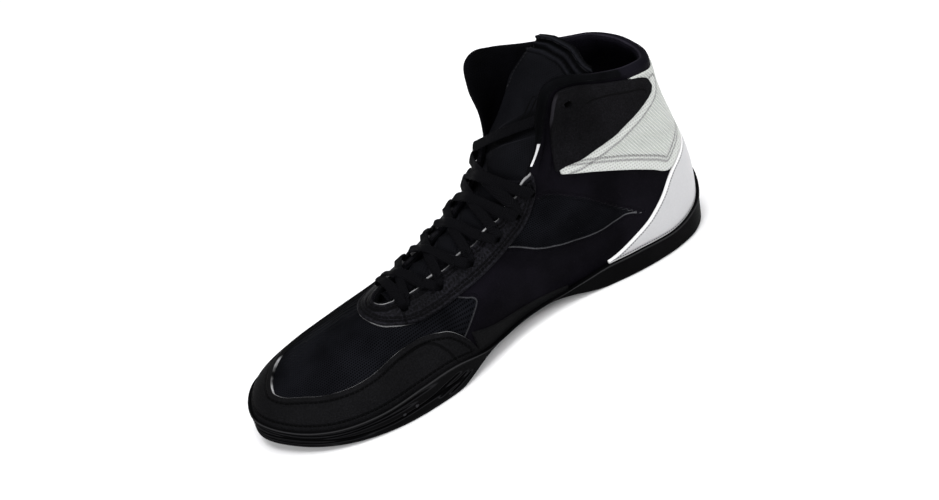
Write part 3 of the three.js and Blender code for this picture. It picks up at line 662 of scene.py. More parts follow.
def upper_material():
    """Mesh in the vamp and windows, smooth synthetic in the quarters, textile in the collar."""
    material, tree, shader = principled("upper", MESH_BLACK, 0.8, 0.012)
    place = object_place(tree)
    part = new_node(tree, "SeparateXYZ", {0: place})
    flat_side = side_view(tree, part)
    is_vamp = ramp(tree, part.outputs["X"], 0.125, 0.128)
    where = new_node(tree, "Mix", {0: is_vamp, 4: flat_side, 5: place}, data_type="VECTOR").outputs[1]
    knit = place_group(tree, KNIT, {"Vector": where, "Pitch": KNIT_PITCH})
    grain = place_group(tree, GRAIN, {"Vector": place, "Scale": 1400.0})
    mesh_part = ramp(tree, field(tree, "mesh_part"), -0.0001, 0.0003)
    lining = ramp(tree, field(tree, "lining"), 0.55, 0.7)
    tab = ramp(tree, field(tree, "tab"), -0.0002, 0.0002)
    collar = ramp(tree, field(tree, "height"), 0.985, 1.0)
    tone = ramp(tree, grain["Tone"], 0.3, 0.7, 0.6, 1.5)
    fabric = blend_colour(tree, knit["Opening"], THREAD_BLACK, OPENING_BLACK)
    colour = blend_colour(tree, mesh_part, SMOOTH_BLACK, fabric)
    colour = blend_colour(tree, collar, colour, MESH_BLACK)
    colour = blend_colour(tree, lining, colour, LINING_BLACK)
    colour = blend_colour(tree, tab, colour, TAB_BLACK)
    stitches = place_group(tree, STITCHES, {"Away": size_of(tree, "mesh_part"),
                                            "Along": field(tree, "along"), **QUARTER_STITCH})
    off_vamp = maths(tree, "SUBTRACT", 1.0, maths(tree, "MULTIPLY", is_vamp, 0.6))
    piping = maths(tree, "MULTIPLY", ramp(tree, size_of(tree, "light_seam"), 0.0005, 0.0002), off_vamp)
    colour = blend_colour(tree, piping, colour, PIPING_GREY)
    # The flaps' pale cut edge with a painted highlight on it.
    colour = blend_colour(tree, ramp(tree, field(tree, "cut"), 0.5, 0.7), colour, CUT_EDGE_AND_HIGHLIGHT)
    # Painted highlight: a pale line along the collar roll's crest, towards the back.
    crest_highlight = maths(tree, "ABSOLUTE", maths(tree, "SUBTRACT", field(tree, "lining"), 0.62))
    at_back = ramp(tree, part.outputs["X"], 0.045, 0.015)
    crest_highlight = maths(tree, "MULTIPLY", ramp(tree, crest_highlight, 0.08, 0.03), at_back)
    colour = blend_colour(tree, crest_highlight, colour, RIM_HIGHLIGHT)
    # Painted shade inside the lace holes.
    hole = ramp(tree, field(tree, "hole"), HOLE_RADIUS, HOLE_RADIUS - 0.0004)
    colour = blend_colour(tree, hole, colour, RECESS_SHADE)
    tinted = new_node(tree, "Mix", {0: 1.0, 6: colour}, data_type="RGBA", blend_type="MULTIPLY")
    tree.links.new(new_node(tree, "CombineColor", {k: tone for k in range(3)}).outputs[0], tinted.inputs[7])
    tree.links.new(tinted.outputs[2], shader.inputs["Base Color"])
    rough = ramp(tree, mesh_part, 0.0, 1.0, 0.62, 0.85)
    tree.links.new(rough, shader.inputs["Roughness"])
    knitted = maths(tree, "MAXIMUM", mesh_part, lining)
    add_bump(tree, shader, maths(tree, "MULTIPLY", knit["Height"], knitted), 0.0006)
    add_bump(tree, shader, grain["Height"], 0.00022)
    add_bump(tree, shader, maths(tree, "SUBTRACT", stitches["Thread"], stitches["Furrow"]), 0.0004)
    slow = new_node(tree, "TexNoise", {"Vector": place, "Scale": 45.0, "Detail": 1.0}).outputs[0]
    phase = maths(tree, "ADD", maths(tree, "MULTIPLY", part.outputs["Y"], 2 * math.pi / WRINKLE_PITCH),
                  maths(tree, "MULTIPLY", part.outputs["X"], 0.6 * math.pi / WRINKLE_PITCH))
    wrinkle = maths(tree, "SINE", maths(tree, "ADD", phase, maths(tree, "MULTIPLY", slow, 9.0)))
    on_vamp = maths(tree, "MULTIPLY", ramp(tree, part.outputs["X"], 0.15, 0.18),
                    ramp(tree, part.outputs["Y"], 0.014, -0.008))
    add_bump(tree, shader, maths(tree, "MULTIPLY", wrinkle, on_vamp), WRINKLE_DEPTH)
    return material


points, fields = upper_shell()
upper_faces = grid_faces(*points.shape[:2], True, True)
upper = new_piece("upper_cloth", points, upper_faces, upper_material(), fields)
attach(upper, "root")
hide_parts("upper")


# Overlays: napped and smooth sheets stitched on over the upper. Each is a plate of the last's own
# surface between two edges, with rounded borders, and rests on the upper.
OVERLAY_TOP = 0.0014
SECOND_TOP = 0.0023
BEVEL = 0.0007
UNDER = 0.001


def spread(count):
    """Places from 0 to 1, closer together near both ends."""
    return 0.5 - 0.5 * np.cos(np.linspace(0, np.pi, count))


def shell_faces(rows, columns):
    """Quads of a closed plate: an outer grid, a back grid like it, and the strip between them."""
    total = rows * columns
    front = grid_faces(rows, columns)
    border = np.concatenate([np.arange(columns), np.arange(1, rows) * columns + columns - 1,
                             total - 2 - np.arange(columns - 1), np.arange(rows - 2, 0, -1) * columns])
    after = np.roll(border, -1)
    strip = np.stack([border, after, after + total, border + total], -1)
    return np.concatenate([front, front[:, ::-1] + total, strip[:, ::-1]])


def plate(u, low, high, top, rows=26, base=-0.0001, bevel=BEVEL, place=skin, relief=None):
    """A closed plate from edge low to edge high at stations u. Its outer face is at the lift top and
    rounds off within a bevel of its border. Returns points, faces, the fields border, along and
    hole, and the grid's u, v and bare places."""
    across = np.broadcast_to(u[:, None], (len(u), rows))
    v = mix(low[:, None], high[:, None], spread(rows)[None, :])
    bare = place(across, v, np.zeros_like(v))
    loop = np.concatenate([bare[:, -1], bare[-1, ::-1], bare[::-1, 0], bare[0]])
    border, along = near_line(bare, loop[::2])[:2]
    rounding = np.sqrt(1 - (1 - np.minimum(border / bevel, 1)) ** 2)
    hole = to_hole(bare)
    pit = HOLE_DEPTH * smooth((HOLE_RADIUS - hole) / HOLE_SLOPE)
    extra = 0 if relief is None else relief(across, v, bare, border)
    front = place(across, v, base + (top - base) * rounding - pit + extra)
    back = place(across, v, base - 0.0003 - pit)
    points = np.stack([front, back])
    fields = {"border": np.stack([border, border]), "along": np.stack([along, along]),
              "hole": np.stack([hole, hole])}
    return points, shell_faces(len(u), rows), fields, (across, v, bare)


def dress(name, made, material, extra=None):
    """Adds a plate to the scene in the place of the CAD node of the same name."""
    points, faces, fields, _ = made
    for key, values in (extra or {}).items():
        fields[key] = np.stack([values, values])
    piece = new_piece(name + "_sheet", points, faces, material, fields)
    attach(piece, "root")
    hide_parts(name)


def sheet_material(name, colour, roughness, specular, light=None, insets=(), scale=1500.0,
                   depth=0.00022, seam=False, holes=False, speck=(0.65, 1.6)):
    """Napped or smooth sheet: grain, slow changes of tone, stitched rows at insets from the border,
    and a painted highlight of the colour light that comes and goes along the edge, over a pale cut
    edge where a sheet has one. speck is how far the grain darkens and lightens the colour."""
    material, tree, shader = principled(name, colour, roughness, specular)
    place = object_place(tree)
    grain = place_group(tree, GRAIN, {"Vector": place, "Scale": scale})
    tone = ramp(tree, grain["Tone"], 0.3, 0.7, 0.4 + 0.6 * speck[0], 0.5 + 0.5 * speck[1])
    fine = ramp(tree, grain["Height"], 0.35, 0.72, *speck)
    shade = scaled(tree, colour, maths(tree, "MULTIPLY", tone, fine))
    border, along = field(tree, "border"), field(tree, "along")
    dark = tuple(0.25 * c for c in colour)
    add_bump(tree, shader, grain["Height"], depth)
    for inset in insets:
        row = place_group(tree, STITCHES, {"Away": border, "Along": along, "Inset": inset})
        shade = blend_colour(tree, maths(tree, "MULTIPLY", row["Furrow"], 0.5), shade, dark)
        shade = blend_colour(tree, row["Thread"], shade, dark)
        add_bump(tree, shader, maths(tree, "SUBTRACT", row["Thread"], row["Furrow"]), 0.0004)
    if seam:
        line = place_group(tree, STITCHES, {"Away": size_of(tree, "seam"), "Along": along, "Inset": 0.0})
        shade = blend_colour(tree, maths(tree, "MULTIPLY", line["Furrow"], 0.75), shade, dark)
        add_bump(tree, shader, maths(tree, "SUBTRACT", 0.0, line["Furrow"]), 0.0005)
    if light is not None:
        # Painted highlight where lit, the distance to the edge, is small, broken by noise.
        broken = new_node(tree, "TexNoise", {"Vector": place, "Scale": 60.0, "Detail": 2.0}).outputs[0]
        edge = maths(tree, "MULTIPLY", ramp(tree, field(tree, "lit"), 0.00040, 0.00015),
                     ramp(tree, broken, 0.40, 0.60))
        shade = blend_colour(tree, edge, shade, light)
    if holes:
        # Painted shade inside the lace holes.
        inside = ramp(tree, field(tree, "hole"), HOLE_RADIUS, HOLE_RADIUS - 0.0003)
        shade = blend_colour(tree, inside, shade, RECESS_SHADE)
    tree.links.new(shade, shader.inputs["Base Color"])
    return material


def distance_to(bare, u, v):
    """Distance of each point to a seam given as a line of u and v, with the sign of the side."""
    ends = np.linspace(0, 1, len(u))
    fine = np.linspace(0, 1, 16 * len(u))
    u, v = (curve_through(np.stack([ends, w], -1), fine) for w in (u, v))
    return near_line(bare, last(u % LOOP, v))[2]


def sided(line, flip):
    """A list of rib and v as its ribs and its vs, on the outer side if flip is set."""
    return [LOOP - u if flip else u for u, _ in line], [v for _, v in line]


def nearest_of(a, b):
    """The smaller in size of two distances with signs."""
    return np.where(np.abs(a) < np.abs(b), a, b)


# Toe guard: one napped synthetic sheet round the toe, from inside the sole's rim up to the vamp.
# Its upper edge is cut and pale, with a painted highlight along it, and a stitched row inside the edge
# holds it down.
GUARD_FROM = 12.25
GUARD_EDGE = [
    # rib, v of the upper edge
    (12.25, 0.13), (12.40, 0.33), (12.60, 0.49), (12.90, 0.585), (13.20, 0.63), (13.60, 0.64),
    (13.90, 0.63), (14.20, 0.60), (14.50, 0.565), (14.80, 0.54), (15.20, 0.52), (15.60, 0.505),
    (16.10, 0.495), (16.60, 0.475), (17.0, 0.465),
]
RIM_BACK = 0.030
RIM_TOP = [
    # share of LAST_LENGTH, share of RIM_BACK
    (0.000, 1.00), (0.014, 0.80), (0.060, 0.57), (0.200, 0.50), (0.270, 0.48), (0.320, 0.40),
    (0.363, 0.35), (0.455, 0.35), (0.570, 0.38), (0.648, 0.58), (0.725, 0.57), (0.820, 0.47),
    (0.905, 0.46), (0.968, 0.53), (1.000, 0.60),
]


def v_at_rim(u, above=0.0):
    """v at which a rib comes out of the sole's cup, or is a distance above its rim."""
    height = RIM_BACK * curve_through(RIM_TOP, foot_share(rib_at(u)[..., 0])) + above
    return v_where(u, lambda p: p[..., 2] < height)


def rib_of(u):
    """The table's rib at a place of the loop, the same on both sides."""
    return np.where(u > LAST_RIB, LOOP - u, np.abs(u))


SEAM_GUARD_END = [(12.85, 0.30), (12.92, 0.42), (13.1, 0.54), (13.4, 0.585), (13.8, 0.575)]
GUARD_ROW = 0.0036
GUARD_BLACK = (0.0031, 0.0031, 0.0035)
PALE_EDGE_AND_HIGHLIGHT = (0.36, 0.36, 0.37)
guard_u = mix(GUARD_FROM, LOOP - GUARD_FROM, np.linspace(0, 1, 520))
guard_v = curve_through(GUARD_EDGE, rib_of(guard_u))
guard = plate(guard_u, v_at_rim(guard_u, -UNDER), guard_v, OVERLAY_TOP, rows=36)
guard_bare = guard[3][2]
guard_seam = nearest_of(*[distance_to(guard_bare, *sided(SEAM_GUARD_END, flip)) for flip in (False, True)])
# The painted highlight's distance to the upper edge, pushed out past the toe on the outer side so that it
# fades there.
guard_lit = near_line(guard_bare, last(guard_u, guard_v))[0]
guard_lit = guard_lit + 0.0006 * smooth((guard_u - 17.8) / 0.8)[:, None]
guard_material = sheet_material("toe_guard", GUARD_BLACK, 0.68, 0.02, light=PALE_EDGE_AND_HIGHLIGHT,
                                insets=(GUARD_ROW,), seam=True)
dress("toe_guard", guard, guard_material, {"lit": guard_lit, "seam": guard_seam})


# Shank wraps: low strips of the same napped sheet at the waist, one on each side. They run from
# the guard's ends back along the sole, with their lower edges inside its rim.
SHANK_FROM = 9
SHANK_TOP = [
    # share of LAST_LENGTH, share of COLLAR_HEIGHT
    (0.340, 0.085), (0.426, 0.112), (0.486, 0.130), (0.539, 0.152), (0.592, 0.188),
]
shank_material = sheet_material("shank_wrap", GUARD_BLACK, 0.68, 0.03)
for side_name, flip in (("inner", False), ("outer", True)):
    u = np.linspace(SHANK_FROM, GUARD_FROM + 0.03, 160)
    u = LOOP - u[::-1] if flip else u
    made = plate(u, v_at_rim(u, -UNDER), side_edge(u, SHANK_TOP), OVERLAY_TOP - GAP, rows=14)
    dress("shank_wrap_" + side_name, made, shank_material)


# Eyestay: perforated sheet round the throat, scalloped on its inner edge, with a painted highlight on
# its pale cut edge and on its raised rolled outer edge, and a plain cap sewn on round its front.
EYESTAY = [
    # rib, width below the throat's edge in millimetres
    (8.9, 3), (9.05, 8), (9.4, 12), (10.5, 15), (12.0, 17), (13.0, 17.5), (14.0, 14), (15.0, 12),
    (17.0, 11),
]
SCALLOP = 0.0018
RIB_RUN = 12.5    # millimetres along the throat for one rib
HOLE_REACH = 3.2  # half of a scallop's length in millimetres
ROLL = (0.0006, 0.0011, 0.0008)  # rolled outer edge: height, inset and half width
STAY_ROWS = (0.0027, 0.0044)
CAP_RIB = 13.35
CAP_ROW = 0.0045
PIERCED_PITCH = 0.0019
STAY_BLACK = (0.0031, 0.0030, 0.0040)
PIERCED_BLACK = (0.0025, 0.0025, 0.003)
STAY_FROM = EYESTAY[0][0]


def off_top(u, below, lift):
    """A place by its distance below the throat's edge; below 0 it reaches past the edge over the
    tongue, straight on along the rib."""
    v = below_top(u, np.maximum(below, 0))
    past = unit(last(u, 1.0) - last(u, 0.97)) * np.maximum(-below, 0)[..., None]
    return off_last(u, v, lift + crease_depth(u, v)) + past


def stay_inner(u):
    """The scalloped edge: past the throat's edge beside each hole, and short of it between them."""
    near = np.min([np.abs(rib_of(u) - h) * RIB_RUN for h in HOLE_RIBS], 0)
    return 0.0004 - SCALLOP * np.exp(-(near / HOLE_REACH) ** 4)


def stay_roll(u, v, bare, border):
    """The rolled outer edge: a bell across the border, and none along the throat."""
    high, inset, half = ROLL
    return high * np.exp(-((border - inset) / half) ** 2) * (v > 0.004)


stay_u = np.linspace(STAY_FROM, LOOP - STAY_FROM, 520)
stay_outer = curve_through(EYESTAY, rib_of(stay_u)) * 0.001
stay = plate(stay_u, stay_outer, stay_inner(stay_u), OVERLAY_TOP + 0.0002, rows=34, place=off_top,
             relief=stay_roll)
stay_across, _, stay_bare = stay[3]
stay_edge = off_top(stay_u, stay_inner(stay_u), np.full(len(stay_u), 0.0008))
stay_rim = off_top(stay_u, stay_outer, np.zeros_like(stay_u))
CAP_END = [(CAP_RIB, 0.99), (CAP_RIB + 0.08, 0.78)]
cap_seam = nearest_of(*[distance_to(stay_bare, *sided(CAP_END, flip)) for flip in (False, True)])
cap_arc = np.linspace(CAP_RIB + 0.15, LOOP - CAP_RIB - 0.15, 30)
cap_row = distance_to(stay_bare, cap_arc, below_top(cap_arc, np.full(len(cap_arc), CAP_ROW)))
cap_seam = nearest_of(cap_seam, cap_row)
is_cap = smooth((np.minimum(stay_across, LOOP - stay_across) - CAP_RIB - 0.05) / 0.05)
# Painted highlights: on the throat's pale cut edge, fading out past the toe on the outer side, and on the
# rolled outer edge, fading out behind the front.
throat_highlight = near_line(stay_bare, stay_edge)[0] * 0.5 - 0.0002
throat_highlight = throat_highlight + 0.00042 * smooth((stay_u - LAST_RIB + 0.5) / 1.0)[:, None]
roll_highlight = near_line(stay_bare, stay_rim)[0] + 0.00022
roll_highlight = roll_highlight + 0.0004 * (1 - smooth((rib_of(stay_across) - 12.3) / 1.5))


def stay_material():
    """Sheet with fine perforations outside the cap, and its two painted edge highlights: on the throat's
    pale cut edge and on the rolled outer edge.
    """
    material = sheet_material("eyestay", STAY_BLACK, 0.6, 0.035, light=PALE_EDGE_AND_HIGHLIGHT, insets=STAY_ROWS,
                              scale=800.0, seam=True, holes=True, speck=(0.5, 2.2))
    tree = material.node_tree
    shader = tree.nodes["Principled BSDF"]
    place = object_place(tree)
    dots = place_group(tree, KNIT, {"Vector": place, "Pitch": PIERCED_PITCH})
    pierced = maths(tree, "MULTIPLY", dots["Opening"], ramp(tree, field(tree, "cap"), 0.5, 0.1))
    away = ramp(tree, field(tree, "border"), 0.006, 0.007)
    pierced = maths(tree, "MULTIPLY", pierced, away)
    before = shader.inputs["Base Color"].links[0].from_socket
    shade = blend_colour(tree, pierced, before, PIERCED_BLACK)
    tree.links.new(shade, shader.inputs["Base Color"])
    add_bump(tree, shader, maths(tree, "SUBTRACT", 1.0, pierced), 0.0004)
    return material


dress("eyestay", stay, stay_material(),
      {"lit": np.minimum(throat_highlight, roll_highlight), "seam": cap_seam, "cap": is_cap})


# Heel strap and heel panel: a smooth pale band low on the heel, and white mesh above it that runs
# forward in a V on each side. Bands of finer knit along its borders are held by stitched rows.
STRAP_TO = 7
STRAP_TOP = [
    # share of LAST_LENGTH, share of COLLAR_HEIGHT, as in the two tables after it
    (0.000, 0.465), (0.014, 0.462), (0.060, 0.425), (0.098, 0.372), (0.130, 0.290), (0.158, 0.232),
    (0.204, 0.172), (0.250, 0.125), (0.300, 0.104),
]
PANEL_TO = 8
HEEL_PANEL_LOW = [
    (0.000, 0.477), (0.014, 0.474), (0.060, 0.437), (0.098, 0.394), (0.137, 0.440),
    (0.179, 0.488), (0.256, 0.563), (0.319, 0.608), (0.345, 0.630),
]
HEEL_PANEL_TOP = [
    (0.000, 0.826), (0.060, 0.830), (0.085, 0.843), (0.120, 0.862), (0.150, 0.872),
    (0.170, 0.866), (0.190, 0.800), (0.230, 0.690), (0.282, 0.665), (0.330, 0.645), (0.345, 0.632),
]
STRAP_GREY = (0.43, 0.43, 0.44)
PANEL_WHITE = (0.50, 0.515, 0.495)
EDGE_WHITE = (0.72, 0.72, 0.72)
SEAM_GREY = (0.20, 0.20, 0.20)
STRAP_THREAD = (0.06, 0.06, 0.06)
DENT_GREY = (0.30, 0.30, 0.29)
TROUGH_SHADE = (0.30, 0.31, 0.29)
STRAP_STITCH = {"Inset": 0.0018, "Pitch": 0.0016}
PANEL_STITCH = 0.0014
BAND_PITCH = 0.0017
BAND_FADE = 0.0003
PANEL_ROWS = (0.0058, 0.0080)
STRIP_ROW = 0.0053
RIB_PITCH = 0.0015


def loop_place(u):
    """A place counted from the heel's back either way, as a place of the loop."""
    return np.mod(u, LOOP)


strap_u = np.linspace(-STRAP_TO, STRAP_TO, 420)
strap_top = side_edge(loop_place(strap_u), STRAP_TOP)
strap = plate(strap_u, v_at_rim(loop_place(strap_u), -UNDER), strap_top, OVERLAY_TOP, rows=30)


def strap_material():
    """Smooth coated sheet, turned over pale at its borders behind a row of tiny stitches."""
    material = sheet_material("heel_strap", STRAP_GREY, 0.42, 0.4, scale=900.0, depth=0.00005,
                              speck=(0.97, 1.03))
    tree = material.node_tree
    shader = tree.nodes["Principled BSDF"]
    shade = shader.inputs["Base Color"].links[0].from_socket
    border = field(tree, "border")
    shade = blend_colour(tree, ramp(tree, border, 0.0012, 0.0008), shade, EDGE_WHITE)
    row = place_group(tree, STITCHES, {"Away": border, "Along": field(tree, "along"), **STRAP_STITCH})
    shade = blend_colour(tree, row["Thread"], shade, STRAP_THREAD)
    tree.links.new(shade, shader.inputs["Base Color"])
    add_bump(tree, shader, maths(tree, "SUBTRACT", 0.0, row["Furrow"]), 0.0003)
    return material


dress("heel_strap", strap, strap_material())

panel_u = np.linspace(-PANEL_TO, PANEL_TO, 460)
panel_low = side_edge(loop_place(panel_u), HEEL_PANEL_LOW)
panel_top = np.maximum(side_edge(loop_place(panel_u), HEEL_PANEL_TOP), panel_low + 0.002)
panel = plate(panel_u, panel_low, panel_top, OVERLAY_TOP, rows=44)
panel_bare = panel[3][2]
panel_away, panel_along, _ = near_line(panel_bare, last(loop_place(panel_u), panel_low))
ANKLE_EDGES = [
    # rib, v of the lower edge, v of the upper edge
    (2.20, 0.890, 0.900), (2.28, 0.868, 0.928), (2.45, 0.846, 0.950), (2.70, 0.822, 0.965),
    (3.05, 0.788, 0.974), (3.60, 0.730, 0.980), (4.50, 0.632, 0.982), (5.30, 0.562, 0.976),
    (5.80, 0.528, 0.960), (6.20, 0.514, 0.940), (6.60, 0.514, 0.925), (7.00, 0.527, 0.905),
    (7.35, 0.550, 0.875), (7.70, 0.582, 0.815), (7.95, 0.605, 0.745), (8.12, 0.622, 0.660),
    (8.17, 0.636, 0.642),
]
ankle_table = np.array(ANKLE_EDGES)
ankle_ribs = np.linspace(ANKLE_EDGES[0][0], ANKLE_EDGES[-1][0], 200)
ankle_low = curve_through(ankle_table[:, [0, 1]], ankle_ribs)
ankle_lines = [last(w, ankle_low) for w in (ankle_ribs, LOOP - ankle_ribs)]
panel_strip = np.min([near_line(panel_bare, line)[0] for line in ankle_lines], 0)


def panel_material():
    """White ribbed mesh between two bands of finer knit, one along the lower edge and one along the
    ankle panel, each held by stitched furrows."""
    material = sheet_material("heel_panel", PANEL_WHITE, 0.7, 0.3, scale=1200.0, depth=0.00006,
                              speck=(0.95, 1.05))
    tree = material.node_tree
    shader = tree.nodes["Principled BSDF"]
    place = object_place(tree)
    part = new_node(tree, "SeparateXYZ", {0: place})
    knit = place_group(tree, KNIT, {"Vector": side_view(tree, part), "Pitch": BAND_PITCH})
    slope = maths(tree, "SUBTRACT", maths(tree, "MULTIPLY", part.outputs["X"], 0.85),
                  maths(tree, "MULTIPLY", part.outputs["Z"], 0.53))
    rib = maths(tree, "SINE", maths(tree, "MULTIPLY", slope, 2 * math.pi / RIB_PITCH))
    low, strip, run = field(tree, "low"), field(tree, "strip"), field(tree, "low_along")
    is_mesh = maths(tree, "MULTIPLY", ramp(tree, low, PANEL_ROWS[1] - BAND_FADE, PANEL_ROWS[1] + BAND_FADE),
                    ramp(tree, strip, STRIP_ROW - BAND_FADE, STRIP_ROW + BAND_FADE))
    shade = shader.inputs["Base Color"].links[0].from_socket
    dents = maths(tree, "MULTIPLY", maths(tree, "SUBTRACT", 1.0, is_mesh), knit["Opening"])
    shade = blend_colour(tree, maths(tree, "MULTIPLY", dents, 0.75), shade, DENT_GREY)
    # Painted shade in the troughs between the mesh's ribs.
    troughs = maths(tree, "MULTIPLY", is_mesh, ramp(tree, rib, 0.2, -1.0))
    shade = blend_colour(tree, maths(tree, "MULTIPLY", troughs, 0.5), shade, TROUGH_SHADE)
    for away, inset in ((low, PANEL_ROWS[0]), (low, PANEL_ROWS[1]), (strip, STRIP_ROW)):
        line = place_group(tree, STITCHES, {"Away": away, "Along": run, "Inset": inset,
                                            "Pitch": PANEL_STITCH})
        shade = blend_colour(tree, maths(tree, "MULTIPLY", line["Furrow"], 0.45), shade, SEAM_GREY)
        shade = blend_colour(tree, line["Thread"], shade, SEAM_GREY)
        add_bump(tree, shader, maths(tree, "SUBTRACT", 0.0, line["Furrow"]), 0.0005)
    tree.links.new(shade, shader.inputs["Base Color"])
    add_bump(tree, shader, maths(tree, "MULTIPLY", rib, is_mesh), 0.00025)
    add_bump(tree, shader, maths(tree, "SUBTRACT", 1.0, dents), 0.0002)
    return material


dress("heel_panel", panel, panel_material(),
      {"low": panel_away, "low_along": panel_along, "strip": panel_strip})


# Ankle panels: napped patches over the collar's flaps, laid over the heel panel, each with one
# lace hole, a rounded front and a point at the back, and a stitched line along the top.
ANKLE_SEAM = [
    # rib, v of the stitched line
    (2.62, 0.875), (2.66, 0.895), (2.85, 0.912), (3.4, 0.915), (4.0, 0.912), (4.6, 0.885), (4.9, 0.862),
]
ANKLE_BLACK = (0.0027, 0.0026, 0.0032)
ANKLE_HIGHLIGHT = (0.016, 0.015, 0.018)
ankle_material = sheet_material("ankle_panel", ANKLE_BLACK, 0.7, 0.025, light=ANKLE_HIGHLIGHT, seam=True,
                                holes=True, speck=(0.5, 2.0))
for side_name, flip in (("inner", False), ("outer", True)):
    rib = mix(ANKLE_EDGES[0][0], ANKLE_EDGES[-1][0], spread(240))
    low = curve_through(ankle_table[:, [0, 1]], rib)
    high = curve_through(ankle_table[:, [0, 2]], rib)
    if flip:
        rib, low, high = LOOP - rib[::-1], low[::-1], high[::-1]
    made = plate(rib, low, high, SECOND_TOP, rows=56, base=0.0008, bevel=0.0009)
    bare = made[3][2]
    seam = distance_to(bare, *sided(ANKLE_SEAM, flip))
    # Painted highlight along the top edge, strongest near the front corner and faded out away from it.
    faded = np.clip(np.abs(rib_of(rib) - 6.5) - 0.5, 0, 0.5) * 0.0009
    lit = near_line(bare, last(rib, high))[0] * 0.3 + faded[:, None]
    dress("ankle_panel_" + side_name, made, ankle_material, {"seam": seam, "lit": lit})


# Tongue: padded mesh under the throat. It leans back into the collar, is pressed in under the lace
# and puffs up between its bars, and has padded ridges across its top.
EDGE = 0.62
TONGUE_TOP = 6.2
TONGUE_THICK = 0.004
TONGUE_RISE = 0.005
TONGUE_REACH = 0.010
TONGUE_CLEAR = 0.001
TONGUE_SLANT = 1.3
TONGUE_LEAN = 0.8
TONGUE_TWIST = 0.1
KNEE = 0.64 * COLLAR_HEIGHT
KNEE_ROUND = 0.06 * COLLAR_HEIGHT
RIDGE_PITCH = 0.0044
RIDGE_DEPTH = 0.0015
RIDGES = 3
NEAR_DROP = 0.004
PUFF = 0.0034
SLOT = [(0.0565, 0.006, 0.119), (0.0650, 0.005, 0.109), (0.0700, 0.002, 0.103)]
SLOT_HALF = 0.0014
FOLD = [(0.083, -0.012, 0.094), (0.080, 0.006, 0.099), (0.072, 0.020, 0.106)]
FOLDS = [
    # shift from FOLD up the tongue, depth
    (0.0, 0.0016), (0.006, 0.0012), (0.012, 0.0008),
]
TONGUE_KNIT = 0.0014
TONGUE_ROW = 0.0030
TONGUE_BLACK = (0.0029, 0.0030, 0.0039)
TONGUE_DENT = (0.0008, 0.0008, 0.001)
TONGUE_THREAD = (0.016, 0.016, 0.018)
PUFF_HIGHLIGHT = (0.008, 0.008, 0.010)
TONGUE_OUTER = [(5.2, -0.30), (6.2, -0.38), (7.2, -0.66), (8.4, -0.90), (9.4, -1.0)]
LACE_THICK = 0.0014
LACE_WIDE = 0.0055
TOP_LACE_WIDE = 0.0068
LACE_LIFT = 0.00072 + 0.0011 + 5 * GAP + LACE_THICK / 2
LACE_PAST = 1.08
TAIL_TO = (7.5, 0.50)
TAIL_TURN = 1.7


def bridge(u, t, height, reach, crown=0.17):
    """A surface across the throat at rib u, from t = -1 on the outer side to 1 on the inner. Past
    EDGE it lies on the last; between, it is an arch whose rise is crown times the width."""
    u, t = np.broadcast_arrays(np.asarray(u, float), np.asarray(t, float))
    side = np.where(t > 0, u, LOOP - u)
    v = below_top(side, reach * np.maximum(0, np.abs(t) - EDGE) / (1 - EDGE))
    lying = off_last(side, v, height(side, v))
    one = np.ones_like(u)
    inner = off_last(u, one, height(u, one))
    outer = off_last(LOOP - u, one, height(LOOP - u, one))
    run = last(u - 0.1, one) - last(u + 0.1, one)
    run[..., 1] = 0
    run = unit(run)
    up = np.stack([run[..., 2], 0 * u, -run[..., 0]], -1)
    rise = crown * np.linalg.norm(inner - outer, axis=-1) * (1 - np.minimum(1, (t / EDGE) ** 2)) ** 1.5
    arch = mix(outer, inner, ((t / EDGE + 1) / 2)[..., None]) + up * rise[..., None]
    return np.where((np.abs(t) > EDGE)[..., None], lying, arch)


def leaned(points):
    """Points moved back above KNEE, on a curve that ends straight, and more so on the inner side."""
    above = np.maximum(0, points[..., 2] - KNEE)
    twist = TONGUE_TWIST * points[..., 1] * np.clip(above / (COLLAR_HEIGHT - KNEE), 0, 1)
    moved = points.copy()
    moved[..., 0] -= TONGUE_LEAN * above ** 2 / (above + KNEE_ROUND) + twist
    return moved


def under_wall(u, v):
    """Lift of the tongue's edges: below the wall by its thickness and a clearance."""
    return -(wall_at(last(u, v)[..., 2]) + TONGUE_CLEAR)


def on_stay(u, v):
    """Lift of the lace over the eyestay."""
    return LACE_LIFT + 0 * v


def on_tongue(u, v):
    """Lift of the lace's tail: over the eyestay on the outer side, and on the tongue past it."""
    return np.where(u > LAST_RIB, LACE_LIFT, under_wall(u, v) + 2.4 * LACE_THICK)


def lace_over(u, t, height):
    """The lace's surface across the throat: the bridge between the holes, leaned as the tongue is."""
    return leaned(bridge(u, t, height, HOLE_INSET, 0.2))


def lace_strips():
    """The strips as their places: start and end rib, start and end t, height, turn, weave."""
    strips = [(HOLE_RIBS[0], HOLE_RIBS[0], -LACE_PAST, LACE_PAST, on_stay, 1, 0)]
    for a, b in zip(HOLE_RIBS[:-1], HOLE_RIBS[1:]):
        strips.append((a, b, -LACE_PAST, LACE_PAST, on_stay, 1, 1))
        strips.append((b, a, -LACE_PAST, LACE_PAST, on_stay, 1, -1))
    strips.append((HOLE_RIBS[-1], TAIL_TO[0], -LACE_PAST, TAIL_TO[1], on_tongue, TAIL_TURN, 0))
    return strips


def strip_places(strip, count):
    """Rib and t along a strip."""
    from_u, to_u, from_t, to_t, _, turn, _ = strip
    f = np.linspace(0, 1, count)
    return mix(from_u, to_u, f ** turn), mix(from_t, to_t, f)


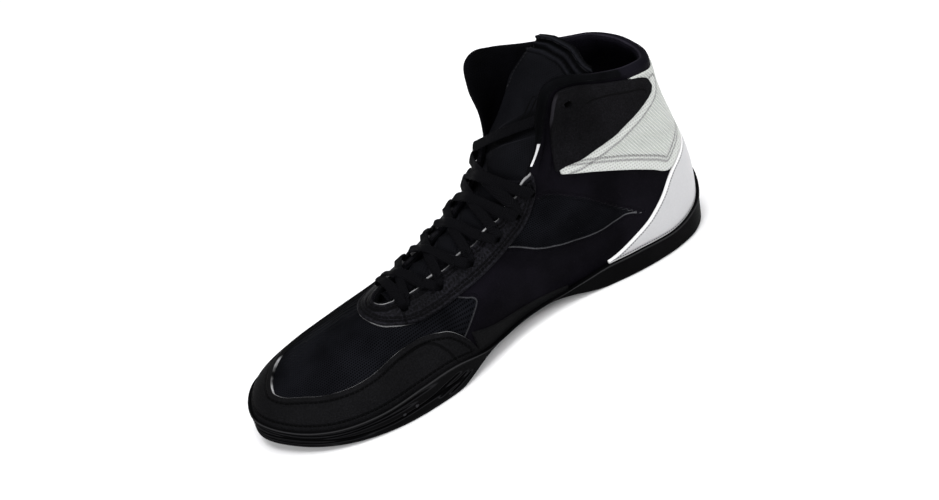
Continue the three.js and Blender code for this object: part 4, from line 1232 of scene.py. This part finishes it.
def tongue_shell(stations=300, across=84):
    """Two grids joined at their borders: the front pressed in along the lace and crowned between,
    and the back a padding's thickness under it."""
    places = np.concatenate([np.linspace(LAST_RIB - 3, TONGUE_TOP, stations - 24),
                             np.linspace(TONGUE_TOP, TONGUE_TOP - 1, 25)[1:]])
    outer_t = curve_through(TONGUE_OUTER, places)
    share = spread(across)
    t = mix(outer_t[:, None], 1, share[None, :])
    u = places[:, None] + TONGUE_SLANT * np.maximum(0, t) * smooth((TONGUE_TOP + 2 - places[:, None]) / 3)
    bare = bridge(np.maximum(u, TONGUE_TOP), t, under_wall, TONGUE_REACH)
    bare[..., 2] += np.maximum(0, TONGUE_TOP - u) * TONGUE_RISE
    bare[..., 2] -= NEAR_DROP * smooth((t - 0.25) / 0.3) * smooth((TONGUE_TOP + 1 - places[:, None]) / 1.5)
    bare = leaned(bare)
    normal = unit(np.cross(np.gradient(bare, axis=1), -np.gradient(bare, axis=0)))
    if (normal[stations // 2, across // 2] * (1, 0, 1)).sum() < 0:
        normal = -normal
    pressed = np.ones(t.shape)
    for strip in lace_strips():
        line = lace_over(*strip_places(strip, 40), strip[4])
        pressed = np.minimum(pressed, smooth((near_line(bare, line)[0] - 0.004) / 0.006))
    zone = smooth((bare[..., 0] - 0.066) / 0.01) * smooth((1.0 - np.abs(t)) / 0.3)
    lift = PUFF * zone * (pressed - 0.35)
    from_top = np.linalg.norm(bare - bare[-1:], axis=-1)
    ridge = np.cos((from_top - RIDGE_PITCH / 2) / RIDGE_PITCH * 2 * np.pi)
    on_ridges = smooth((RIDGES * RIDGE_PITCH - from_top) / 0.001)
    lift += RIDGE_DEPTH * (ridge - 0.4) * on_ridges
    slot_away = near_line(bare, np.array(SLOT))[2]
    lift -= 0.0007 * np.exp(-((np.abs(slot_away) - SLOT_HALF) / 0.0006) ** 2)
    for shift, deep in FOLDS:
        away = near_line(bare, np.array(FOLD) + np.array([-0.6, 0, 0.8]) * shift)[0]
        lift -= deep * np.exp(-(away / 0.0022) ** 2) - 0.5 * deep * np.exp(-((away - 0.0045) / 0.002) ** 2)
    half = TONGUE_THICK / 2
    edge = np.linalg.norm(bare - bare[:, :1], axis=-1)
    edge = np.minimum(edge, np.linalg.norm(bare - bare[:, -1:], axis=-1))
    edge = np.minimum(edge, np.linalg.norm(bare - bare[-1:], axis=-1))
    rounding = np.sqrt(1 - (1 - np.minimum(edge / half, 1)) ** 2)
    front = bare + normal * (half * rounding - half + lift * rounding)[..., None]
    back = bare - normal * (half * rounding + half)[..., None]
    lengths = np.linalg.norm(np.gradient(bare, axis=0), axis=-1).cumsum(0)
    return np.stack([front, back]), {"border": edge, "along": lengths, "slot": slot_away,
                                     "press": pressed, "ridge": 0.5 + 0.5 * ridge * on_ridges}


def tongue_material():
    """Fine mesh, smoother towards the top, with stitched side seams and slot."""
    material, tree, shader = principled("tongue", TONGUE_BLACK, 0.75, 0.02)
    place = object_place(tree)
    part = new_node(tree, "SeparateXYZ", {0: place})
    down = maths(tree, "SUBTRACT", part.outputs["X"], part.outputs["Z"])
    flat = new_node(tree, "CombineXYZ", {"X": part.outputs["Y"], "Y": down}).outputs[0]
    knit = place_group(tree, KNIT, {"Vector": flat, "Pitch": TONGUE_KNIT})
    grain = place_group(tree, GRAIN, {"Vector": place, "Scale": 1100.0})
    below = ramp(tree, part.outputs["X"], 0.060, 0.078)
    open_share = maths(tree, "ADD", 0.35, maths(tree, "MULTIPLY", below, 0.55))
    dents = maths(tree, "MULTIPLY", knit["Opening"], open_share)
    shade = blend_colour(tree, dents, TONGUE_BLACK, TONGUE_DENT)
    # Painted highlight on the puffs' slopes between the lace bars, below the top.
    puff = maths(tree, "ABSOLUTE", maths(tree, "SUBTRACT", field(tree, "press"), 0.62))
    painted_puff_highlight = maths(tree, "MULTIPLY", ramp(tree, puff, 0.10, 0.02), below)
    shade = blend_colour(tree, painted_puff_highlight, shade, PUFF_HIGHLIGHT)
    shade = scaled(tree, shade, ramp(tree, grain["Tone"], 0.3, 0.7, 0.75, 1.3))
    # Painted shade and highlight: darker in the ridges' troughs and where the lace presses in, lighter on
    # the ridges' crests and the puffs.
    raised = maths(tree, "MULTIPLY", ramp(tree, field(tree, "ridge"), 0.0, 1.0, 0.25, 1.8),
                   ramp(tree, field(tree, "press"), 0.0, 0.8, 0.45, 1.15))
    shade = scaled(tree, shade, raised)
    rows = place_group(tree, STITCHES, {"Away": field(tree, "border"), "Along": field(tree, "along"),
                                        "Inset": TONGUE_ROW})
    shade = blend_colour(tree, rows["Thread"], shade, TONGUE_THREAD)
    # Painted shade along the slot's furrows.
    slot = maths(tree, "ABSOLUTE", maths(tree, "SUBTRACT", size_of(tree, "slot"), SLOT_HALF))
    shade = blend_colour(tree, ramp(tree, slot, 0.0005, 0.0002), shade, RECESS_SHADE)
    tree.links.new(shade, shader.inputs["Base Color"])
    add_bump(tree, shader, knit["Height"], 0.00018)
    add_bump(tree, shader, grain["Height"], 0.0002)
    add_bump(tree, shader, maths(tree, "SUBTRACT", rows["Thread"], rows["Furrow"]), 0.0006)
    return material


tongue_points, tongue_fields = tongue_shell()
tongue_faces = shell_faces(*tongue_points.shape[1:3])
tongue = new_piece("tongue_padding", tongue_points, tongue_faces, tongue_material(),
                   {k: np.stack([f, f]) for k, f in tongue_fields.items()})
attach(tongue, "root")
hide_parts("tongue")


# Lace: flat woven cloth, threaded criss-cross through the six pairs of holes. Its tail lies on the
# tongue and its ends are tucked away inside.
TWILL_PITCH = 0.0011
LACE_BLACK = (0.0028, 0.0028, 0.0035)


def lace_ribbon(strip, stations=110, section=14):
    """One strip as a closed tube: a flat oval section square to the path, with its ends pinched. It
    dives into the holes, and rises or sinks where it crosses the other strip."""
    from_u, to_u, from_t, to_t, height, turn, weave = strip
    u, t = strip_places(strip, stations)
    at = lace_over(u, t, height)
    up = unit(np.cross(lace_over(u, t + 0.03, height) - lace_over(u, t - 0.03, height),
                       lace_over(u - 0.03, t, height) - lace_over(u + 0.03, t, height)))
    f = np.linspace(0, 1, stations)
    dive = 0.0052 * smooth((np.abs(t) - 0.93) / 0.13)
    cross = weave * 0.0009 * np.cos(np.clip(t / 0.3, -1, 1) * np.pi / 2) ** 2
    end = weave * 0.0007 * smooth((np.abs(t) - 0.55) / 0.2) * np.sign(t)
    slack = 0.0012 * np.exp(-((t + 0.55) / 0.16) ** 2)
    at = at + up * (cross + end + slack - dive)[:, None]
    along = unit(np.gradient(at, axis=0))
    wide = unit(np.cross(up, along))
    tilt = 0.22 * np.sin(f * 5.3 + from_u * 2.1 + weave)
    cos, sin = np.cos(tilt)[:, None], np.sin(tilt)[:, None]
    tilted = wide * cos + up * sin
    up = up * cos - wide * sin
    full = mix(LACE_WIDE, TOP_LACE_WIDE, smooth((10.2 - min(from_u, to_u)) / 0.6))
    width = full / 2 * (1 + 0.08 * np.sin(f * 9 + from_u * 3))
    width = width * (1 - 0.25 * smooth((np.abs(t) - 0.85) / 0.2))
    width = width * np.sqrt(np.clip(np.minimum(f, 1 - f) / 0.012, 0.02, 1))
    turn_round = np.linspace(0, 2 * np.pi, section, endpoint=False)
    c, s = np.cos(turn_round), np.sin(turn_round)
    flat_c = np.sign(c) * np.abs(c) ** 0.7
    thick = LACE_THICK / 2 * np.sign(s) * np.abs(s) ** 0.8 - 0.0003 * flat_c ** 2
    ring = at[:, None] + tilted[:, None] * (width[:, None] * flat_c)[..., None]
    ring = ring + up[:, None] * thick[None, :, None]
    length = np.linalg.norm(np.gradient(at, axis=0), axis=-1).cumsum()
    size = ring.shape[:2]
    return ring, np.broadcast_to(length[:, None], size), np.broadcast_to(flat_c * LACE_WIDE / 2, size)


def lace_material():
    """Woven cloth: a fine twill whose ribs lean both ways from the lace's middle."""
    material, tree, shader = principled("lace", LACE_BLACK, 0.75, 0.02)
    lean = maths(tree, "ADD", field(tree, "along"), size_of(tree, "across"))
    rib = maths(tree, "SINE", maths(tree, "MULTIPLY", lean, 2 * math.pi / TWILL_PITCH))
    place = object_place(tree)
    grain = place_group(tree, GRAIN, {"Vector": place, "Scale": 1300.0})
    # The tone follows the ribs: painted shade in their troughs and painted highlight on their crests.
    shade = scaled(tree, LACE_BLACK, ramp(tree, rib, -1.0, 1.0, 0.65, 1.35))
    tree.links.new(shade, shader.inputs["Base Color"])
    add_bump(tree, shader, rib, 0.0002)
    add_bump(tree, shader, grain["Height"], 0.0002)
    return material


rings, faces, alongs, acrosses, start = [], [], [], [], 0
for strip in lace_strips():
    ring, along, across = lace_ribbon(strip)
    stations, section = ring.shape[:2]
    quads = grid_faces(stations, section, close_columns=True)
    caps = [[start_row + k, start_row + k + 1, start_row + section - 2 - k, start_row + section - 1 - k]
            for start_row in (0, (stations - 1) * section) for k in range(section // 2 - 1)]
    caps = np.array(caps)
    caps[:len(caps) // 2] = caps[:len(caps) // 2, ::-1]
    rings.append(ring.reshape(-1, 3))
    alongs.append(along.ravel())
    acrosses.append(across.ravel())
    faces.append(np.concatenate([quads, caps]) + start)
    start += stations * section
lace = new_piece("lace_ribbons", np.concatenate(rings), np.concatenate(faces), lace_material(),
                 {"along": np.concatenate(alongs), "across": np.concatenate(acrosses)})
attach(lace, "root")
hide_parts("lace")


# Insole: a flat board with a knitted textile top. It lies on the floor of the sole's cup, inside
# the upper's wall, and isn't fastened.
INSOLE_THICK = 0.004
INSOLE_PITCH = 0.0015
INSOLE_BLACK = (0.004, 0.004, 0.005)


def insole_shell(stations=150, across=24):
    """Rows across the foot between the two feather lines, set in by the wall, on the cup's floor."""
    u = mix(0, LAST_RIB, spread(stations))

    def edge(w):
        """The feather line, set in by the wall and its clearances."""
        foot = rib_at(w)[..., :2]
        return np.concatenate([foot, 0 * foot[..., :1]], -1) - outward(w) * (WALL + 2 * GAP)

    inner, outer = edge(u), edge(LOOP - u)
    share = spread(across)
    p = mix(outer[:, None], inner[:, None], share[None, :, None])
    under = p.copy()
    under[..., 2] = floor_z(p[..., 0]) + GAP
    top = p.copy()
    border = np.min([np.linalg.norm(p - side[:, None], axis=-1) for side in (outer, inner)], 0)
    rounding = np.sqrt(1 - (1 - np.minimum(border / 0.0015, 1)) ** 2)
    top[..., 2] = under[..., 2] + INSOLE_THICK * (0.6 + 0.4 * rounding)
    return np.stack([top, under])


insole_material, insole_tree, insole_shader = principled("insole", INSOLE_BLACK, 0.9, 0.05)
insole_knit = place_group(insole_tree, KNIT, {"Vector": object_place(insole_tree), "Pitch": INSOLE_PITCH})
add_bump(insole_tree, insole_shader, insole_knit["Height"], 0.0003)
insole_points = insole_shell()
insole_faces = shell_faces(*insole_points.shape[1:3])
insole = new_piece("insole_board", insole_points, insole_faces, insole_material)
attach(insole, "root")
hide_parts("insole")


# Outsole: moulded rubber cup, thin at the waist, with a raised lip round its rim, swept grooves and
# two small pips round the toe, and a wavy tread under heel and ball.
LUG_GROOVE = 0.0013
LUG_WIDTH = 0.0022
LUG_WAVE = 0.003
SIDE_GROOVE = 0.0008
HEEL_TREAD = np.linspace(0.07, 0.25, 5)
BALL_TREAD = np.linspace(0.66, 0.92, 8)
SIDE_GROOVES = [
    # height share at rib 12.6 and at the toe, wave, first rib, half width in metres, depth
    (0.80, 0.80, 0.03, 13.2, 0.0007, 0.0005),
    (0.62, 0.66, 0.04, 13.6, 0.0006, 0.0006),
    (0.36, 0.50, 0.05, 12.6, 0.0007, 0.0008),
    (0.18, 0.34, 0.03, 14.4, 0.0006, 0.0006),
    (0.10, 0.18, 0.02, 15.0, 0.0005, 0.0005),
]
FAN = [
    # rib and height share where a short groove starts, and where it ends
    (12.9, 0.66, 13.5, 0.44), (12.75, 0.52, 13.3, 0.30), (12.65, 0.38, 13.1, 0.20),
]
PIPS = [
    # rib and height share
    (13.75, 0.52), (13.98, 0.46),
]
SIDE_TALL = 0.014   # height of the side at the ball
RUBBER_BLACK = (0.0017, 0.0017, 0.0019)
LIP_HIGHLIGHT = (0.02, 0.02, 0.021)
PIP_HIGHLIGHT = (0.02, 0.02, 0.022)
GROOVE_SHADE = (0.0003, 0.0003, 0.0004)
GROOVE_EDGE_HIGHLIGHT = (0.010, 0.010, 0.011)


def side_relief(u, h):
    """How far the sole's side stands out: a lip at the rim, less the grooves, which sweep along the
    toe on slow waves, and the fan of short ones at the ball."""
    rib = rib_of(u)
    out = 0.0005 * smooth((h - 0.88) / 0.05)
    out = out - SIDE_GROOVE * 0.6 * smooth((h - 0.965) / 0.035) ** 2
    out = out - SIDE_GROOVE * 1.2 * (1 - smooth(h / 0.12))
    for at_ball, at_toe, wave, start, half, deep in SIDE_GROOVES:
        line = mix(at_ball, at_toe, smooth((rib - 12.6) / 4.4)) + wave * np.sin((rib - start) * 2.4)
        fade = smooth((rib - start) / 0.6)
        out = out - deep * fade * np.exp(-((h - line) * SIDE_TALL / half) ** 2)
    for rib_a, h_a, rib_b, h_b in FAN:
        f = np.clip((rib - rib_a) / (rib_b - rib_a), 0, 1)
        ends = smooth((rib - rib_a + 0.1) / 0.15) * smooth((rib_b + 0.1 - rib) / 0.15)
        out = out - 0.0006 * ends * np.exp(-((h - mix(h_a, h_b, f)) * SIDE_TALL / 0.0006) ** 2)
    for pip_rib, pip_h in PIPS:
        away = np.hypot((rib - pip_rib) * 0.033, (h - pip_h) * SIDE_TALL)
        out = out + 0.0007 * smooth((0.0014 - away) / 0.0007)
    return out


def tread_relief(points):
    """How far the underside is cut in: grooves across it, each on one wave of the width."""
    s = foot_share(points[..., 0] - LUG_WAVE * np.cos(points[..., 1] / BALL_HALF * np.pi * 1.5))
    away = np.min([np.abs(s - place) for place in (*HEEL_TREAD, *BALL_TREAD)], 0) * LAST_LENGTH
    return LUG_GROOVE * smooth((LUG_WIDTH / 2 + 0.0002 - away) / 0.0004)


def outsole_shell(stations=520, under_rows=46, side_rows=56, inside_rows=8, cup_rows=10):
    """Rings across the sole from heel to toe: the underside, the inner side up to the rim, down into
    the cup, its floor, and the outer side likewise."""
    u = mix(0, LAST_RIB, mix(np.linspace(0, 1, stations), spread(stations), 0.5))
    rings = []

    def wall(w, side):
        """The side from the underside's edge to the rim, and how far its relief stands out."""
        h = np.linspace(0, 1, side_rows)[None, :]
        foot = rib_at(w)[:, :2]
        foot = np.concatenate([foot, 0 * foot[:, :1]], -1) + outward(w) * (GAP + RIM)
        foot[:, 2] = under_z(foot[:, 0], side)
        top = off_last(w, v_at_rim(w), np.full(len(w), GAP + RIM))
        p = mix(foot[:, None], top[:, None], h[..., None])
        out = side_relief(np.broadcast_to(w[:, None], p.shape[:2]), h)
        return p + outward(w)[:, None] * out[..., None], out

    def inside(w):
        """The cup's wall, from the rim down to its floor."""
        high = v_at_rim(w, -0.0004)
        v = mix(high[:, None], 0, np.linspace(0, 1, inside_rows)[None, :])
        p = off_last(np.broadcast_to(w[:, None], v.shape), v, np.full(v.shape, GAP))
        p[:, -1, 2] = floor_z(p[:, -1, 0])
        return p

    (inner, inner_out), (outer, outer_out) = wall(u, 1), wall(LOOP - u, -1)
    inner_in, outer_in = inside(u), inside(LOOP - u)
    t = np.linspace(-1, 1, under_rows + 2)[1:-1]
    under = mix(outer[:, :1], inner[:, :1], ((t + 1) / 2)[None, :, None])
    under[..., 2] = under_z(under[..., 0], t[None, :]) + tread_relief(under)
    t = np.linspace(1, -1, cup_rows + 2)[1:-1]
    cup = mix(outer_in[:, -1:], inner_in[:, -1:], ((t + 1) / 2)[None, :, None])
    cup[..., 2] = floor_z(cup[..., 0])
    ring = np.concatenate([under, inner, inner_in, cup, outer_in[:, ::-1], outer[:, ::-1]], 1)
    h = np.broadcast_to(np.linspace(0, 1, side_rows), inner_out.shape)
    no_under, no_cup = np.zeros((stations, under_rows)), np.zeros((stations, 2 * inside_rows + cup_rows))
    side = np.concatenate([no_under, h, no_cup + 1, h[:, ::-1]], 1)
    relief = np.concatenate([no_under, inner_out, no_cup, outer_out[:, ::-1]], 1)
    return ring, {"side": side, "relief": relief}


def rubber_material():
    """Matt moulded rubber, with painted highlights on the lip, the pips and the grooves' edges, and painted
    shade in the grooves.
    """
    material, tree, shader = principled("outsole", RUBBER_BLACK, 0.5, 0.012)
    place = object_place(tree)
    grain = place_group(tree, GRAIN, {"Vector": place, "Scale": 1700.0})
    shade = scaled(tree, RUBBER_BLACK, ramp(tree, grain["Tone"], 0.3, 0.7, 0.8, 1.25))
    side, relief = field(tree, "side"), field(tree, "relief")
    # Painted highlight along the raised lip round the rim.
    lip = maths(tree, "MULTIPLY", ramp(tree, side, 0.93, 0.97), ramp(tree, side, 1.0, 0.985))
    shade = blend_colour(tree, lip, shade, LIP_HIGHLIGHT)
    # Painted shade in the grooves.
    shade = blend_colour(tree, ramp(tree, relief, -0.0001, -0.0005), shade, GROOVE_SHADE)
    # Painted highlight along the grooves' edges.
    edge = maths(tree, "ABSOLUTE", maths(tree, "ADD", relief, 0.00012))
    edge = maths(tree, "MULTIPLY", ramp(tree, edge, 0.00010, 0.00003), ramp(tree, side, 0.05, 0.12))
    shade = blend_colour(tree, edge, shade, GROOVE_EDGE_HIGHLIGHT)
    # Painted highlight on the raised pips.
    pip = maths(tree, "MULTIPLY", ramp(tree, relief, 0.0003, 0.0006), ramp(tree, side, 0.85, 0.8))
    shade = blend_colour(tree, pip, shade, PIP_HIGHLIGHT)
    tree.links.new(shade, shader.inputs["Base Color"])
    tree.links.new(ramp(tree, grain["Height"], 0.3, 0.7, 0.48, 0.62), shader.inputs["Roughness"])
    add_bump(tree, shader, grain["Height"], 0.00008)
    return material


sole_points, sole_fields = outsole_shell()
stations, ring_size = sole_points.shape[:2]
sole_faces = grid_faces(stations, ring_size, close_columns=True)
outsole = new_piece("outsole_rubber", sole_points, sole_faces, rubber_material(), sole_fields)
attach(outsole, "root")
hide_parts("outsole")
